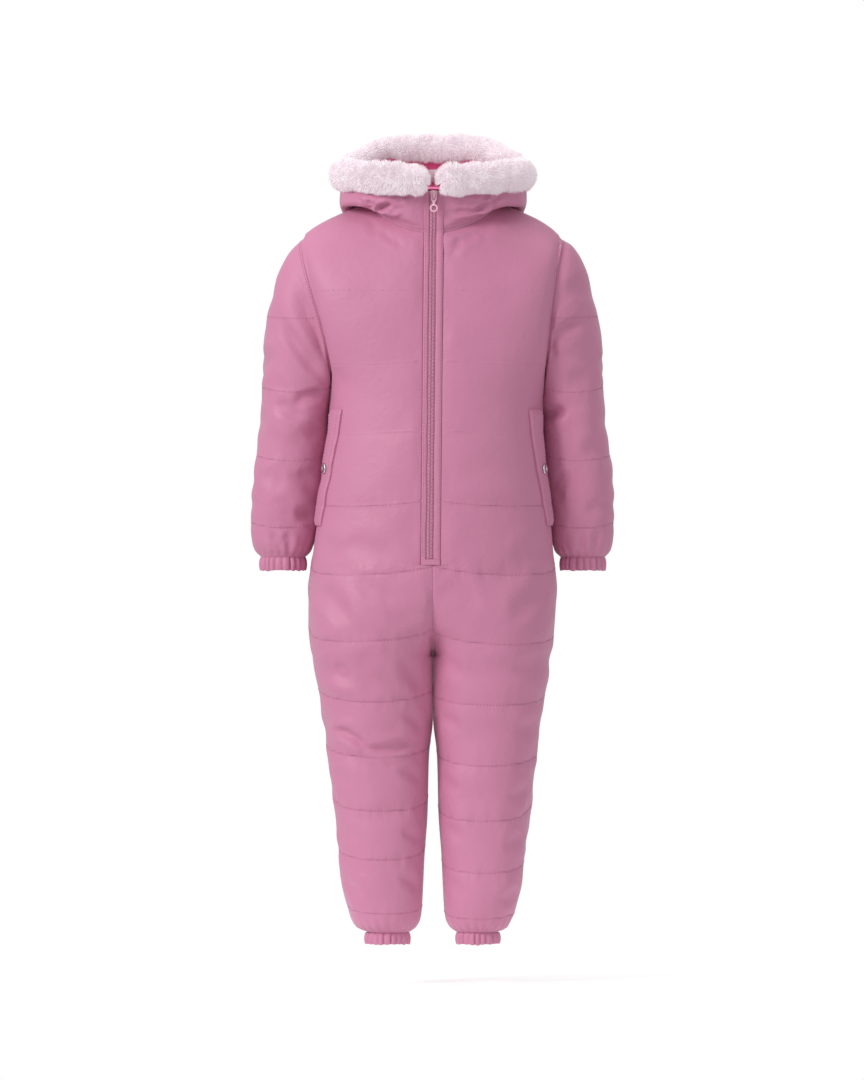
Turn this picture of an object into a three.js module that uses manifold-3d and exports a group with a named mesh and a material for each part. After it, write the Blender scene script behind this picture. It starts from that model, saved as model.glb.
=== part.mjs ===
// A toddler's hooded, quilted snowsuit, filled out and hanging as if it were worn.
// Every piece is a closed wall of cloth. Sizes are in millimetres. +Z is up, -Y is the front,
// and the origin lies between the shoulders, level with the points where the neck meets them.
// Left and right are the wearer's: left is +X, right is -X.
import * as THREE from "three";
import { mergeVertices } from "three/addons/utils/BufferGeometryUtils.js";
import Module from "manifold-3d";

const seamGap = 0.3;
const paddedWall = 7; // shell, wadding and lining together, where the quilting stands full
const quiltDepth = 3.6; // how far a quilting line draws the shell in
const seamDepth = 2.4; // how far a joining seam draws the shell in
const seamReach = 9; // distance over which that dip fades out
const deepestDip = 4.2; // the most that a line and a seam together draw the shell in
const endChannel = { below: 75, above: 170 }; // height of the last channels, under and over the lines
const upperPitch = 11; // height between the rows of a panel above the underarm
const hoodWall = 3.4;
const hoodPitch = 9; // height between the rows of the hood
const hoodLift = 0.36; // clears the hood's first row from the neck edge of the panels
const liningWall = 1;
const liningClear = 1.02;

const neck = { halfWidth: 75, front: 62, back: 50, frontDrop: 30, backRise: 5 };
// The zip opening leans from shiftBottom at its foot to shiftTop at the collar.
const zip = {
  bottom: -399, top: 8, corner: 1.5, rightEdge: 10.2, leftEdge: 10.6, shiftBottom: -3, shiftTop: 0.9,
  endBar: 6.2, flapRight: 5.0, flapLeft: 3.4, flapFront: 1.2, flapBack: 2.7, tapeFront: 3, tapeBack: 4.2,
  coilFront: 0.8, coilBack: 2.7, barFront: 0.6, sideClear: 0.35, rows: 28,
};
const crotch = -500;
const underarm = -200;
const shoulderTip = -38;
const legHem = -803;
const sleeveHem = -390.5;

const cloth = { color: 0xcf86a8, roughness: 0.62, metalness: 0 };
const lining = { color: 0xe0628f, roughness: 0.5, metalness: 0 };
const pile = { color: 0xefe1e8, roughness: 0.9, metalness: 0 };
const label = { color: 0xf6eef2, roughness: 0.6, metalness: 0 };
const enamel = { color: 0xe79fbd, roughness: 0.35, metalness: 0.2 };
const steel = { color: 0xc9ccd0, roughness: 0.3, metalness: 1 };

// Sections through one half of the suit, from the ankle to the underarm.
// outLeft and outRight are the outline on each side. inner is where the ring round the leg would end on the
// centre side: past the centre line (negative) in the trunk, where the halves are cut and sewn together.
const bodySections = [
  { z: -803, outLeft: 73, outRight: 74, inner: 26, front: 23, back: 25, square: 2.0 },
  { z: -797, outLeft: 83, outRight: 85, inner: 18, front: 32, back: 35, square: 2.0 },
  { z: -788, outLeft: 88, outRight: 90.5, inner: 13.5, front: 37.5, back: 41, square: 2.05 },
  { z: -775, outLeft: 92.5, outRight: 94.5, inner: 11.8, front: 42, back: 46, square: 2.1 },
  { z: -749, outLeft: 99.4, outRight: 101.5, inner: 10.4, front: 47, back: 51, square: 2.1 },
  { z: -722, outLeft: 102, outRight: 104, inner: 9.2, front: 49, back: 54, square: 2.1 },
  { z: -670, outLeft: 108.2, outRight: 109.6, inner: 6.2, front: 53, back: 57, square: 2.1 },
  { z: -617, outLeft: 114.6, outRight: 116, inner: 5.2, front: 58, back: 61, square: 2.1 },
  { z: -590, outLeft: 117.2, outRight: 119.2, inner: 4, front: 61, back: 65, square: 2.1 },
  { z: -564, outLeft: 121.4, outRight: 122.6, inner: 1.8, front: 66, back: 71, square: 2.15 },
  { z: -538, outLeft: 124.8, outRight: 127, inner: 1.0, front: 71, back: 78, square: 2.15 },
  { z: -511, outLeft: 128.2, outRight: 130.6, inner: 0.6, front: 77, back: 86, square: 2.2 },
  { z: -500, outLeft: 129.8, outRight: 132.4, inner: 0.4, front: 80, back: 89, square: 2.2 },
  { z: -485, outLeft: 132.4, outRight: 134.8, inner: -9, front: 84, back: 93, square: 2.25 },
  { z: -458, outLeft: 134.9, outRight: 137.2, inner: -44, front: 90, back: 99, square: 2.3 },
  { z: -432, outLeft: 136, outRight: 138, inner: -92, front: 94, back: 101, square: 2.3 },
  { z: -405, outLeft: 134.5, outRight: 135.5, inner: -132, front: 95, back: 99, square: 2.3 },
  { z: -357, outLeft: 131, outRight: 129, inner: -131, front: 96, back: 92, square: 2.3 },
  { z: -325, outLeft: 128, outRight: 125, inner: -128, front: 96, back: 88, square: 2.3 },
  { z: -291, outLeft: 123.6, outRight: 120.5, inner: -124, front: 95, back: 86, square: 2.3 },
  { z: -247, outLeft: 121.4, outRight: 115.5, inner: -121, front: 93, back: 86, square: 2.3 },
  { z: -200, outLeft: 122.5, outRight: 113.5, inner: -122, front: 90, back: 87, square: 2.3 },
];

// Centre lines of the trunk above the underarm, front and back.
const centreProfile = [
  { z: -200, front: 90, back: 87 },
  { z: -150, front: 87, back: 86.5 },
  { z: -100, front: 81, back: 83 },
  { z: -60, front: 72.5, back: 74 },
  { z: -30, front: 62, back: 64 },
  { z: 5, front: 56, back: 50 },
];

// The armhole on each side: where it starts under the arm, and how far it scoops in towards the chest.
const armhole = {
  left: { underX: 122.5, tipX: 141, scoop: 0.5 },
  right: { underX: 113.5, tipX: 142, scoop: 7 },
  frontDepth: 49,
  backDepth: 52,
};

// Level rings of the sleeve below the armhole.
const sleeveSections = [
  { z: -232, inner: 126.5, outer: 190.5, front: 33, back: 60, square: 2.1 },
  { z: -262, inner: 124.5, outer: 194, front: 30, back: 62, square: 2.1 },
  { z: -290, inner: 125.5, outer: 197, front: 26.5, back: 62, square: 2.1 },
  { z: -315, inner: 128, outer: 198.8, front: 23, back: 60, square: 2.1 },
  { z: -340, inner: 131, outer: 199.8, front: 19.5, back: 57, square: 2.1 },
  { z: -360, inner: 133, outer: 199.8, front: 16.5, back: 54.5, square: 2.1 },
  { z: -374, inner: 134, outer: 198.4, front: 13.5, back: 52, square: 2.05 },
  { z: -383, inner: 135.2, outer: 195.8, front: 10, back: 49.5, square: 2.0 },
  { z: -390.5, inner: 140.6, outer: 189.6, front: 3, back: 43, square: 2.0 },
];

const quiltLines = {
  trunk: [-99, -176, -252, -330, -405, -478],
  legLeft: [-546, -613, -674, -733, -783],
  legRight: [-546, -606, -665, -719, -779],
  sleeve: [-52, -126, -201, -276, -350],
};

// Rings of the hood from the neck seam, over the pouch that hangs behind, to the edge under the fur.
const hoodSections = [
  { halfWidth: 75, front: 62, back: 50, zFront: -30, zSide: 0, zBack: 5 },
  { halfWidth: 77, front: 64, back: 60, zFront: -25, zSide: 6, zBack: 11 },
  { halfWidth: 81, front: 65.5, back: 80, zFront: -20, zSide: 8.5, zBack: -16 },
  { halfWidth: 86, front: 67, back: 92, zFront: -15, zSide: 7, zBack: -60 },
  { halfWidth: 91.5, front: 68, back: 103, zFront: -10, zSide: 4, zBack: -96 },
  { halfWidth: 97, front: 69, back: 122, zFront: -6, zSide: 2.5, zBack: -105 },
  { halfWidth: 101.5, front: 70, back: 134, zFront: -2, zSide: 4.5, zBack: -86 },
  { halfWidth: 103.5, front: 71, back: 141, zFront: 1, zSide: 9, zBack: -50 },
  { halfWidth: 103, front: 72, back: 136, zFront: 3.5, zSide: 14.5, zBack: -10 },
  { halfWidth: 101, front: 73, back: 119, zFront: 6.5, zSide: 20, zBack: 25 },
];
// Which way the hood's edge lies from the middle of the fur roll: leaning in (-) or out (+) of straight down.
const furSeat = { front: -0.4, side: 0.12, back: 0.55 };
const fur = {
  halfWidth: 97, front: 81, back: 92, zFront: 25.5, zSide: 41, zBack: 62,
  radius: 16.5, frontGap: 6, waves: 11, waveHeight: 1.1, clear: 1.4,
};

const pocket = {
  top: -228, bottom: -356, rise: 3.4, clear: 0.95,
  frontAngleTop: 33, frontAngleBottom: 20, backAngleTop: 15, backAngleBottom: 6,
};
const snap = { z: -294, radius: 6.2, height: 2.4, dish: 1.0 };
const cuff = { height: 13, ripple: 1.9, wall: 2, pleats: 14 };
const anklet = { height: 11, ripple: 1.5, wall: 2, pleats: 18 };
const slider = {
  z: 4, lean: 16, width: 7.6, length: 11, plate: 2.2, standOff: 0.5,
  bridge: 1.8, bridgeTop: 6.2, bridgeFoot: 2.0, bridgeRise: 3.4, slotRise: 1.9, slotTop: 4.6, slotFoot: 0.95,
};
const tab = {
  thick: 1.0, armOut: 2.8, armIn: 1.5, armTop: 0.5, forkFoot: 4.2, shoulder: 5.6, stem: 1.2,
  ringDrop: 12.8, ringRadius: 4.4, ringHole: 2.7, barRadius: 0.5,
};
const hangLoop = { width: 8, height: 14, thick: 0.8, top: 40, clear: 0.6 };

const columnShares = [0, 0.04, 0.13, 0.24, 0.36, 0.48, 0.6, 0.72, 0.84, 0.95, 1];
const armholeRows = 12;
const shoulderRows = 5;
const channelShares = [0, 0.2, 0.8];
// Each panel runs from shoulder to ankle, in four lengths that meet on quilting lines, lowest first.
const lengthNames = ["shin", "thigh", "hip", "chest"];
const lengthLines = { left: [-613, -478, -252], right: [-606, -478, -252] };

const vec = (x, y, z) => new THREE.Vector3(x, y, z);
const mix = (a, b, t) => a + (b - a) * t;
const clamp = THREE.MathUtils.clamp;
const radians = THREE.MathUtils.degToRad;
const sideName = (side) => (side > 0 ? "left" : "right");
const zipShare = (z) => clamp((z - zip.bottom) / (zip.top - zip.bottom), 0, 1);
const zipShift = (z) => mix(zip.shiftBottom, zip.shiftTop, zipShare(z));
const zipEdge = (side, z) => (side > 0 ? zip.leftEdge + zipShift(z) : zip.rightEdge - zipShift(z));

// A smooth curve without overshoot through one column of a table, read at any height.
function column(table, name, key = "z") {
  const rows = [...table].sort((a, b) => a[key] - b[key]);
  const xs = rows.map((r) => r[key]);
  const ys = rows.map((r) => r[name]);
  const slopes = xs.slice(1).map((x, i) => (ys[i + 1] - ys[i]) / (x - xs[i]));
  const tangents = ys.map((_, i) => {
    if (i === 0) return slopes[0];
    if (i === ys.length - 1) return slopes[i - 1];
    const product = slopes[i - 1] * slopes[i];
    return product <= 0 ? 0 : (2 * product) / (slopes[i - 1] + slopes[i]);
  });
  return (x) => {
    const at = clamp(x, xs[0], xs[xs.length - 1]);
    let i = 0;
    while (i < xs.length - 2 && at > xs[i + 1]) i++;
    const h = xs[i + 1] - xs[i];
    const t = (at - xs[i]) / h;
    return (
      ys[i] * (2 * t ** 3 - 3 * t ** 2 + 1) +
      tangents[i] * h * (t ** 3 - 2 * t ** 2 + t) +
      ys[i + 1] * (3 * t ** 2 - 2 * t ** 3) +
      tangents[i + 1] * h * (t ** 3 - t ** 2)
    );
  };
}

const power = (value, exponent) => Math.sign(value) * Math.abs(value) ** exponent;

// Triangles between two lines of points that run the same way: in turn when both have as many points, or else
// by the shorter of the two next diagonals.
function ribbon(triangles, lineA, lineB) {
  let i = 0;
  let j = 0;
  while (i < lineA.length - 1 || j < lineB.length - 1) {
    const endA = i === lineA.length - 1;
    const endB = j === lineB.length - 1;
    const even = lineA.length === lineB.length;
    const aIsNear = !endA && !endB && lineA[i + 1].distanceTo(lineB[j]) <= lineA[i].distanceTo(lineB[j + 1]);
    if (endB || (even ? i === j : aIsNear)) {
      triangles.push(lineA[i], lineA[i + 1], lineB[j]);
      i++;
    } else {
      triangles.push(lineA[i], lineB[j + 1], lineB[j]);
      j++;
    }
  }
}

// A closed solid between an outer and an inner grid of points. A tube's columns run all the way round.
function wallSolid(outer, inner, isTube) {
  const triangles = [];
  const close = (row) => (isTube ? [...row, row[0]] : row);
  const faces = (grid) => grid.slice(1).forEach((row, i) => ribbon(triangles, close(grid[i]), close(row)));
  faces(outer);
  faces([...inner].reverse());
  ribbon(triangles, close(inner[0]), close(outer[0]));
  ribbon(triangles, close(outer.at(-1)), close(inner.at(-1)));
  if (!isTube) {
    ribbon(triangles, outer.map((row) => row[0]), inner.map((row) => row[0]));
    ribbon(triangles, inner.map((row) => row.at(-1)), outer.map((row) => row.at(-1)));
  }
  return solidFrom(triangles);
}

// A geometry from corner points, turned so that its faces point out.
function solidFrom(points) {
  let volume = 0;
  for (let i = 0; i < points.length; i += 3) {
    volume += points[i].dot(vec(0, 0, 0).crossVectors(points[i + 1], points[i + 2]));
  }
  const ordered = volume < 0 ? points.map((_, i) => points[i + [0, 1, -1][i % 3]]) : points;
  const geometry = new THREE.BufferGeometry().setFromPoints(ordered);
  return mergeVertices(geometry, 1e-4);
}

// Unit vectors into the cloth at every point of a grid. pointIn gives the rough inward side, or the sign of
// (along the row) x (up the rows).
function inwardVectors(grid, pointIn, isTube) {
  const columns = grid[0].length;
  return grid.map((row, i) =>
    row.map((point, j) => {
      const before = isTube ? (j + columns - 1) % columns : Math.max(j - 1, 0);
      const after = isTube ? (j + 1) % columns : Math.min(j + 1, columns - 1);
      const across = row[after].clone().sub(row[before]);
      const along = grid[Math.min(i + 1, grid.length - 1)][j].clone().sub(grid[Math.max(i - 1, 0)][j]);
      const normal = across.cross(along).normalize();
      const agrees = typeof pointIn === "number" ? pointIn : normal.dot(pointIn(point));
      return agrees < 0 ? normal.negate() : normal;
    }),
  );
}

const middleOf = (row) => row.reduce((sum, p) => sum.add(p), vec(0, 0, 0)).divideScalar(row.length);
const moved = (grid, inward, depth) =>
  grid.map((row, i) => row.map((p, j) => p.clone().addScaledVector(inward[i][j], depth(i, j, p))));

// Depth of the shell below its full height, from the nearest quilting line and the nearest seam.
function quiltDip(z, lines) {
  const sorted = [...lines].sort((a, b) => a - b);
  const below = sorted.filter((line) => line <= z).at(-1) ?? sorted[0] - endChannel.below;
  const above = sorted.find((line) => line > z) ?? sorted.at(-1) + endChannel.above;
  const share = clamp((z - below) / (above - below), 0, 1);
  return quiltDepth * (1 - (4 * share * (1 - share)) ** 0.42);
}
const seamDip = (distance) => seamDepth * Math.exp(-distance / seamReach);

// The ring of one half of the suit at a height. Angle 0 is the side seam and 180 degrees the inner leg.
const section = Object.fromEntries(
  Object.keys(bodySections[0]).slice(1).map((name) => [name, column(bodySections, name)]),
);
function ringSize(side, z) {
  const out = side > 0 ? section.outLeft(z) : section.outRight(z);
  const inner = section.inner(z);
  return { centre: (out + inner) / 2, half: (out - inner) / 2, square: section.square(z) };
}
function ringPoint(side, z, angle, face) {
  const ring = ringSize(side, z);
  const depth = face < 0 ? section.front(z) : section.back(z);
  const x = ring.centre + ring.half * power(Math.cos(angle), 2 / ring.square);
  return vec(side * x, face * depth * power(Math.sin(angle), 2 / ring.square), z);
}
// Where a ring meets the centre line or the edge of the zip opening.
function centreEdge(side, z, face) {
  if (face > 0) return seamGap / 2;
  const share = clamp((z - zip.bottom + zip.corner) / zip.corner, 0, 1);
  return mix(seamGap / 2, zipEdge(side, z), share);
}
function endAngle(side, z, face) {
  const ring = ringSize(side, z);
  const edge = centreEdge(side, z, face);
  const share = (edge - ring.centre) / ring.half;
  return share <= -1 ? Math.PI : Math.acos(power(share, ring.square / 2));
}

// The armhole loop: 0 is under the arm and 1 the shoulder tip.
function armholePoint(side, face, share) {
  const size = side > 0 ? armhole.left : armhole.right;
  const turn = share * Math.PI;
  const rise = (1 - Math.cos(turn)) / 2;
  const depth = face < 0 ? armhole.frontDepth : armhole.backDepth;
  const x = mix(size.underX, size.tipX, rise) - size.scoop * Math.sin(turn);
  return vec(side * x, face * depth * Math.sin(turn) ** 0.9, mix(underarm, shoulderTip, rise));
}
function armholeInward(side, point) {
  const middle = (underarm + shoulderTip) / 2;
  const toMiddle = vec(0, -point.y, middle - point.z).normalize();
  const low = clamp((middle - point.z) / (middle - underarm), 0, 1);
  return toMiddle.add(vec(-side * (0.15 + 0.15 * low), 0, 0)).normalize();
}

const neckInward = (point) => vec(-point.x, -point.y, 0).normalize().add(vec(0, 0, -0.6)).normalize();

const centreFront = column(centreProfile, "front");
const centreBack = column(centreProfile, "back");

// One row of the trunk above the underarm: an arc from the armhole or shoulder seam to the centre.
function upperRow(side, face, step) {
  const last = armholeRows + shoulderRows;
  const onShoulder = Math.max(step - armholeRows, 0) / shoulderRows;
  const tip = armholePoint(side, face, 1);
  const start =
    step <= armholeRows
      ? armholePoint(side, face, step / armholeRows)
      : vec(mix(tip.x, side * neck.halfWidth, onShoulder), 0, mix(shoulderTip, 0, onShoulder ** 0.85));
  const share = step / last;
  const topZ = face < 0 ? -neck.frontDrop : neck.backRise;
  const endZ = mix(underarm, topZ, share);
  const endY = face * (face < 0 ? centreFront(endZ) : centreBack(endZ));
  const square = mix(2.3, 2, share);
  const edge = centreEdge(side, endZ, face);
  const endTurn = Math.acos((edge / Math.abs(start.x)) ** (square / 2));
  const slope = mix(2, 1.6, share);
  return columnShares.map((across) => {
    const turn = across * endTurn;
    return vec(
      start.x * Math.cos(turn) ** (2 / square),
      mix(start.y, endY, Math.sin(turn) ** (2 / square)),
      mix(start.z, endZ, Math.sin(turn) ** slope),
    );
  });
}

const isLengthEnd = (side, z) => lengthLines[sideName(side)].some((line) => Math.abs(z - line) < seamGap);
function lowerHeights(side) {
  const lines = [legHem, ...quiltLines[side > 0 ? "legLeft" : "legRight"], ...quiltLines.trunk, underarm]
    .filter((z) => z <= underarm)
    .sort((a, b) => a - b);
  const between = (z, next) => channelShares.map((share) => mix(z, next, share));
  const heights = lines.slice(0, -1).flatMap((z, i) => between(z, lines[i + 1]));
  const ends = [zip.bottom - zip.corner, zip.bottom, pocket.top, pocket.bottom];
  const all = [...heights, legHem + 4, crotch - 2, crotch + 5, ...ends].sort((a, b) => a - b);
  const apart = all.filter((z, i) => i === 0 || z - all[i - 1] > 1.2);
  return apart.flatMap((z) => (isLengthEnd(side, z) ? [z - seamGap / 2, z + seamGap / 2] : [z]));
}

// The full-height surface of a front or back panel, and the same with its quilting and seams drawn in.
function panelGrids(side, face) {
  const heights = lowerHeights(side);
  const lines = [...quiltLines.trunk, ...quiltLines[side > 0 ? "legLeft" : "legRight"]];
  const lowerRows = heights.map((z) => {
    const end = endAngle(side, z, face);
    return columnShares.map((share) => ringPoint(side, z, share * end, face));
  });
  const steps = Array.from({ length: armholeRows + shoulderRows + 1 }, (_, step) => step);
  const upperRows = steps.map((step) => upperRow(side, face, step));
  const grid = [...lowerRows, ...upperRows];
  const inward = inwardVectors(grid, -side * face, false);
  const firstUpper = lowerRows.length;
  upperRows.forEach((row, step) => {
    if (step <= armholeRows) inward[firstUpper + step][0] = armholeInward(side, row[0]);
  });
  inward[grid.length - 1] = grid.at(-1).map(neckInward);
  // Two lengths that meet share the directions of their ends, so the gap between them stays even.
  heights.forEach((z, i) => {
    if (!isLengthEnd(side, z) || !isLengthEnd(side, heights[i + 1] ?? underarm)) return;
    inward[i] = inward[i].map((v, j) => v.clone().add(inward[i + 1][j]).normalize());
    inward[i + 1] = inward[i];
  });
  const last = grid.length - 1;
  const walked = grid.map((row) => {
    let sum = 0;
    return row.map((p, j) => (sum += j ? p.distanceTo(row[j - 1]) : 0));
  });
  const dip = (i, j, p) => {
    const across = Math.min(walked[i][j], walked[i].at(-1) - walked[i][j]);
    const drawn = Math.max(quiltDip(p.z, lines), seamDip(across), seamDip((last - i) * upperPitch));
    return i === last ? seamDepth : Math.min(deepestDip, drawn);
  };
  // Hold every edge on its own side of the seams.
  const held = (p, i, j) => {
    const edge = centreEdge(side, grid[i][j].z, face);
    const x = side * Math.max(side * p.x, edge);
    const atEnd = j === grid[i].length - 1;
    const toLeg = atEnd && grid[i][j].z <= crotch;
    const toSide = j === 0 && (i < firstUpper || i > firstUpper + armholeRows);
    const y = toLeg || toSide ? (face * seamGap) / 2 : face * Math.max(face * p.y, seamGap / 2);
    return vec(atEnd && !toLeg ? side * edge : x, y, p.z);
  };
  const layer = (depth) => moved(grid, inward, depth).map((row, i) => row.map((p, j) => held(p, i, j)));
  const near = (z, low, high) => z > low - 0.1 && z < high + 0.1;
  const isCorner = (z) => near(z, zip.bottom - zip.corner, zip.bottom) || near(z, crotch - 2, crotch + 5);
  const isKey = (z) => isCorner(z) || isLengthEnd(side, z);
  const kept = (i) => i === last || i >= firstUpper || i % 3 === 0 || isKey(grid[i][0].z);
  return { outer: layer(dip), inner: layer(() => paddedWall), kept, firstUpper, heights };
}
const panels = {};
for (const side of [1, -1]) {
  for (const face of [-1, 1]) panels[[side, face]] = panelGrids(side, face);
}
const everyOther = (row) => row.filter((_, j) => j % 2 === 0 || j === row.length - 1);
function panelLengths(side, face) {
  const { outer, inner, kept, heights } = panels[[side, face]];
  const starts = lengthLines[sideName(side)].map((line) => heights.findIndex((z) => z > line));
  const ends = [0, ...starts, outer.length];
  const isFull = (i) => i === outer.length - 1 || (i < heights.length && isLengthEnd(side, heights[i]));
  const plain = inner.map((row, i) => (isFull(i) ? row : everyOther(row)));
  return ends.slice(1).map((end, k) => {
    const isIn = (i) => i >= ends[k] && i < end;
    return wallSolid(outer.filter((_, i) => isIn(i)), plain.filter((_, i) => isIn(i) && kept(i)), false);
  });
}

// How deep the body panels dip at the armhole, where the sleeve meets them.
const armholeDip = (p) => Math.min(deepestDip, Math.max(quiltDip(p.z, quiltLines.trunk), seamDip(0)));

// A sleeve: rings that leave the armhole, turn down, and run level to the wrist.
const sleeveSize = Object.fromEntries(
  Object.keys(sleeveSections[0]).slice(1).map((name) => [name, column(sleeveSections, name)]),
);
function sleeveRing(side, z, share, face) {
  const inner = sleeveSize.inner(z);
  const outer = sleeveSize.outer(z);
  const middle = (sleeveSize.back(z) - sleeveSize.front(z)) / 2;
  const half = (sleeveSize.back(z) + sleeveSize.front(z)) / 2;
  const turn = share * Math.PI;
  const exponent = 2 / sleeveSize.square(z);
  const x = (inner + outer) / 2 - ((outer - inner) / 2) * power(Math.cos(turn), exponent);
  return vec(side * x, middle + face * half * power(Math.sin(turn), exponent), z);
}
function sleeve(side) {
  const around = [
    ...Array.from({ length: armholeRows + 1 }, (_, k) => ({ face: -1, share: k / armholeRows })),
    ...Array.from({ length: armholeRows - 1 }, (_, k) => ({ face: 1, share: 1 - (k + 1) / armholeRows })),
  ];
  const firstLevel = sleeveSections[0].z;
  const turnRows = 8;
  const turnPitch = 20;
  const turning = Array.from({ length: turnRows }, (_, i) => {
    const t = i / turnRows;
    return around.map(({ face, share }) => {
      const from = armholePoint(side, face, share).add(vec(side * seamGap * 2, 0, 0));
      const to = sleeveRing(side, firstLevel, share, face);
      const lift = (1 - Math.cos(share * Math.PI)) / 2;
      const reach = mix(30, 175, lift);
      const leaving = vec(side * mix(0.55, 0.86, lift), 0, -mix(0.85, 0.62, lift)).multiplyScalar(reach);
      const arriving = vec(side * mix(0, 0.12, lift), 0, -1).multiplyScalar(mix(30, 150, lift));
      const point = from.clone().multiplyScalar(2 * t ** 3 - 3 * t ** 2 + 1);
      point.addScaledVector(leaving, t ** 3 - 2 * t ** 2 + t);
      point.addScaledVector(to, 3 * t ** 2 - 2 * t ** 3);
      return point.addScaledVector(arriving, t ** 3 - t ** 2);
    });
  });
  const stops = [firstLevel, ...quiltLines.sleeve.filter((z) => z < firstLevel), sleeveHem];
  const levels = [
    ...stops.slice(0, -1).flatMap((z, i) => channelShares.map((share) => mix(z, stops[i + 1], share))),
    sleeveHem + 3,
    sleeveHem,
  ];
  const level = levels.map((z) => around.map(({ face, share }) => sleeveRing(side, z, share, face)));
  const grid = [...turning, ...level];
  const middles = grid.map(middleOf);
  const inward = grid.map((row, i) => {
    const three = [grid[Math.max(i - 1, 0)], row, grid[Math.min(i + 1, grid.length - 1)]];
    return inwardVectors(three, (p) => middles[i].clone().sub(p), true)[1];
  });
  inward[0] = grid[0].map((p) => armholeInward(side, p));
  const fromSeam = (i) => seamDip(i * turnPitch);
  const dip = (i, p) => (i < 2 ? fromSeam(i) : Math.max(quiltDip(p.z, quiltLines.sleeve), fromSeam(i)));
  const outer = moved(grid, inward, (i, j, p) => (i === 0 ? armholeDip(p) : dip(i, p)));
  const inner = moved(grid, inward, () => paddedWall);
  const keptRow = (_, i) => i < turnRows || i % 3 === 0 || i === grid.length - 1;
  const plain = inner.map((row, i) => (i ? row.filter((_, j) => j % 2 === 0) : row));
  return wallSolid(outer, plain.filter(keptRow), true);
}
// A gathered casing below a hem: a ring whose outside is pleated.
function casing(ringAt, top, size) {
  const count = size.pleats * 2;
  const bulge = [0, 0.8, 0.7, 0.1];
  const rows = bulge.map((out, i) => {
    const z = top - (size.height * i) / (bulge.length - 1);
    return Array.from({ length: count }, (_, k) => {
      const pleat = k % 2 ? -size.ripple : size.ripple * (0.7 + 0.3 * Math.sin(k * 2.4));
      const turn = (k / count) * 2 * Math.PI;
      return ringAt(turn, -0.6 + out + pleat * (i === 0 ? 0.35 : 1)).setZ(z);
    });
  });
  const inside = [0, 1].map((end) =>
    Array.from({ length: size.pleats }, (_, k) => {
      const turn = (k / size.pleats) * 2 * Math.PI;
      return ringAt(turn, -size.ripple - size.wall).setZ(top - size.height * end);
    }),
  );
  return wallSolid(rows, inside, true);
}
// Level ring of the wrist or the ankle, set out from the hem by a distance.
const wristRing = (side) => (turn, out) => {
  const low = sleeveSections.at(-1);
  const half = (low.outer - low.inner) / 2 + out;
  const depth = (low.front + low.back) / 2 + out;
  const x = (low.outer + low.inner) / 2 + half * Math.cos(turn);
  return vec(side * x, (low.back - low.front) / 2 + depth * Math.sin(turn), 0);
};
const ankleRing = (side) => (turn, out) => {
  const ring = ringSize(side, legHem);
  const depth = (Math.sin(turn) < 0 ? section.front(legHem) : section.back(legHem)) + out;
  return vec(side * (ring.centre + (ring.half + out) * Math.cos(turn)), depth * Math.sin(turn), 0);
};

// Loops round the neck and the hood: angle 0 is the side and 90 degrees the centre, front or back.
function loopPoint(size, side, face, turn) {
  const depth = face < 0 ? size.front : size.back;
  const endZ = face < 0 ? size.zFront : size.zBack;
  const z = mix(size.zSide, endZ, Math.sin(turn) ** 1.6);
  return vec(side * size.halfWidth * Math.cos(turn), face * depth * Math.sin(turn), z);
}
const hoodShares = hoodSections.map((row, i) => ({ ...row, share: i / (hoodSections.length - 1) }));
const hoodColumns = Object.fromEntries(
  Object.keys(hoodSections[0]).map((name) => [name, column(hoodShares, name, "share")]),
);
const hoodSize = (share) =>
  Object.fromEntries(Object.entries(hoodColumns).map(([name, at]) => [name, at(share)]));
const furRadius = (turn, face) =>
  fur.radius + fur.waveHeight * Math.cos(fur.waves * (face < 0 ? -turn : turn));

// One side of the hood, row by row from the neck seam to the fur, each row from centre front to centre back.
const hoodTurns = (halfWidth, edge) => [
  ...columnShares.map((share) => ({ face: -1, turn: share * Math.acos(edge / halfWidth) })).reverse(),
  ...columnShares.slice(1).map((share) => ({ face: 1, turn: share * Math.acos(seamGap / 2 / halfWidth) })),
];
const hoodRowShares = [0, 0.06, 0.14, 0.22, 0.3, 0.38, 0.46, 0.54, 0.62, 0.71, 0.8, 0.9, 1];
function hoodLayers(side) {
  const rows = hoodRowShares.map((share) => {
    const size = hoodSize(share);
    const lift = vec(0, 0, share === 0 ? hoodLift : 0);
    return hoodTurns(size.halfWidth, zipEdge(side, size.zFront)).map(({ face, turn }) =>
      loopPoint(size, side, face, turn).add(lift),
    );
  });
  const seat = hoodTurns(fur.halfWidth, zipEdge(side, zip.top)).map(({ face, turn }) => {
    const middle = loopPoint(fur, side, face, turn);
    const lean = mix(furSeat.side, face < 0 ? furSeat.front : furSeat.back, Math.sin(turn));
    const outwards = vec(middle.x, middle.y, 0).normalize();
    const away = outwards.multiplyScalar(lean).add(vec(0, 0, -Math.sqrt(1 - lean * lean)));
    return middle.addScaledVector(away, furRadius(turn, face) + fur.clear);
  });
  const grid = [...rows, seat];
  const inward = inwardVectors(grid, -side, false);
  inward[0] = grid[0].map(neckInward);
  return (depth) =>
    moved(grid, inward, depth).map((row, i) =>
      row.map((p, j) => {
        if (j === 0) return vec(side * zipEdge(side, grid[i][0].z), p.y, p.z);
        if (j === row.length - 1) return vec((side * seamGap) / 2, p.y, p.z);
        return vec(side * Math.max(side * p.x, seamGap / 2), p.y, p.z);
      }),
    );
}
function hoodHalf(side) {
  const layer = hoodLayers(side);
  const outer = layer((i) => (i === 0 ? seamDepth : seamDip(i * hoodPitch)));
  const inner = layer(() => hoodWall);
  return wallSolid(outer, inner.map((row, i) => (i ? everyOther(row) : row)), false);
}
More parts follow.
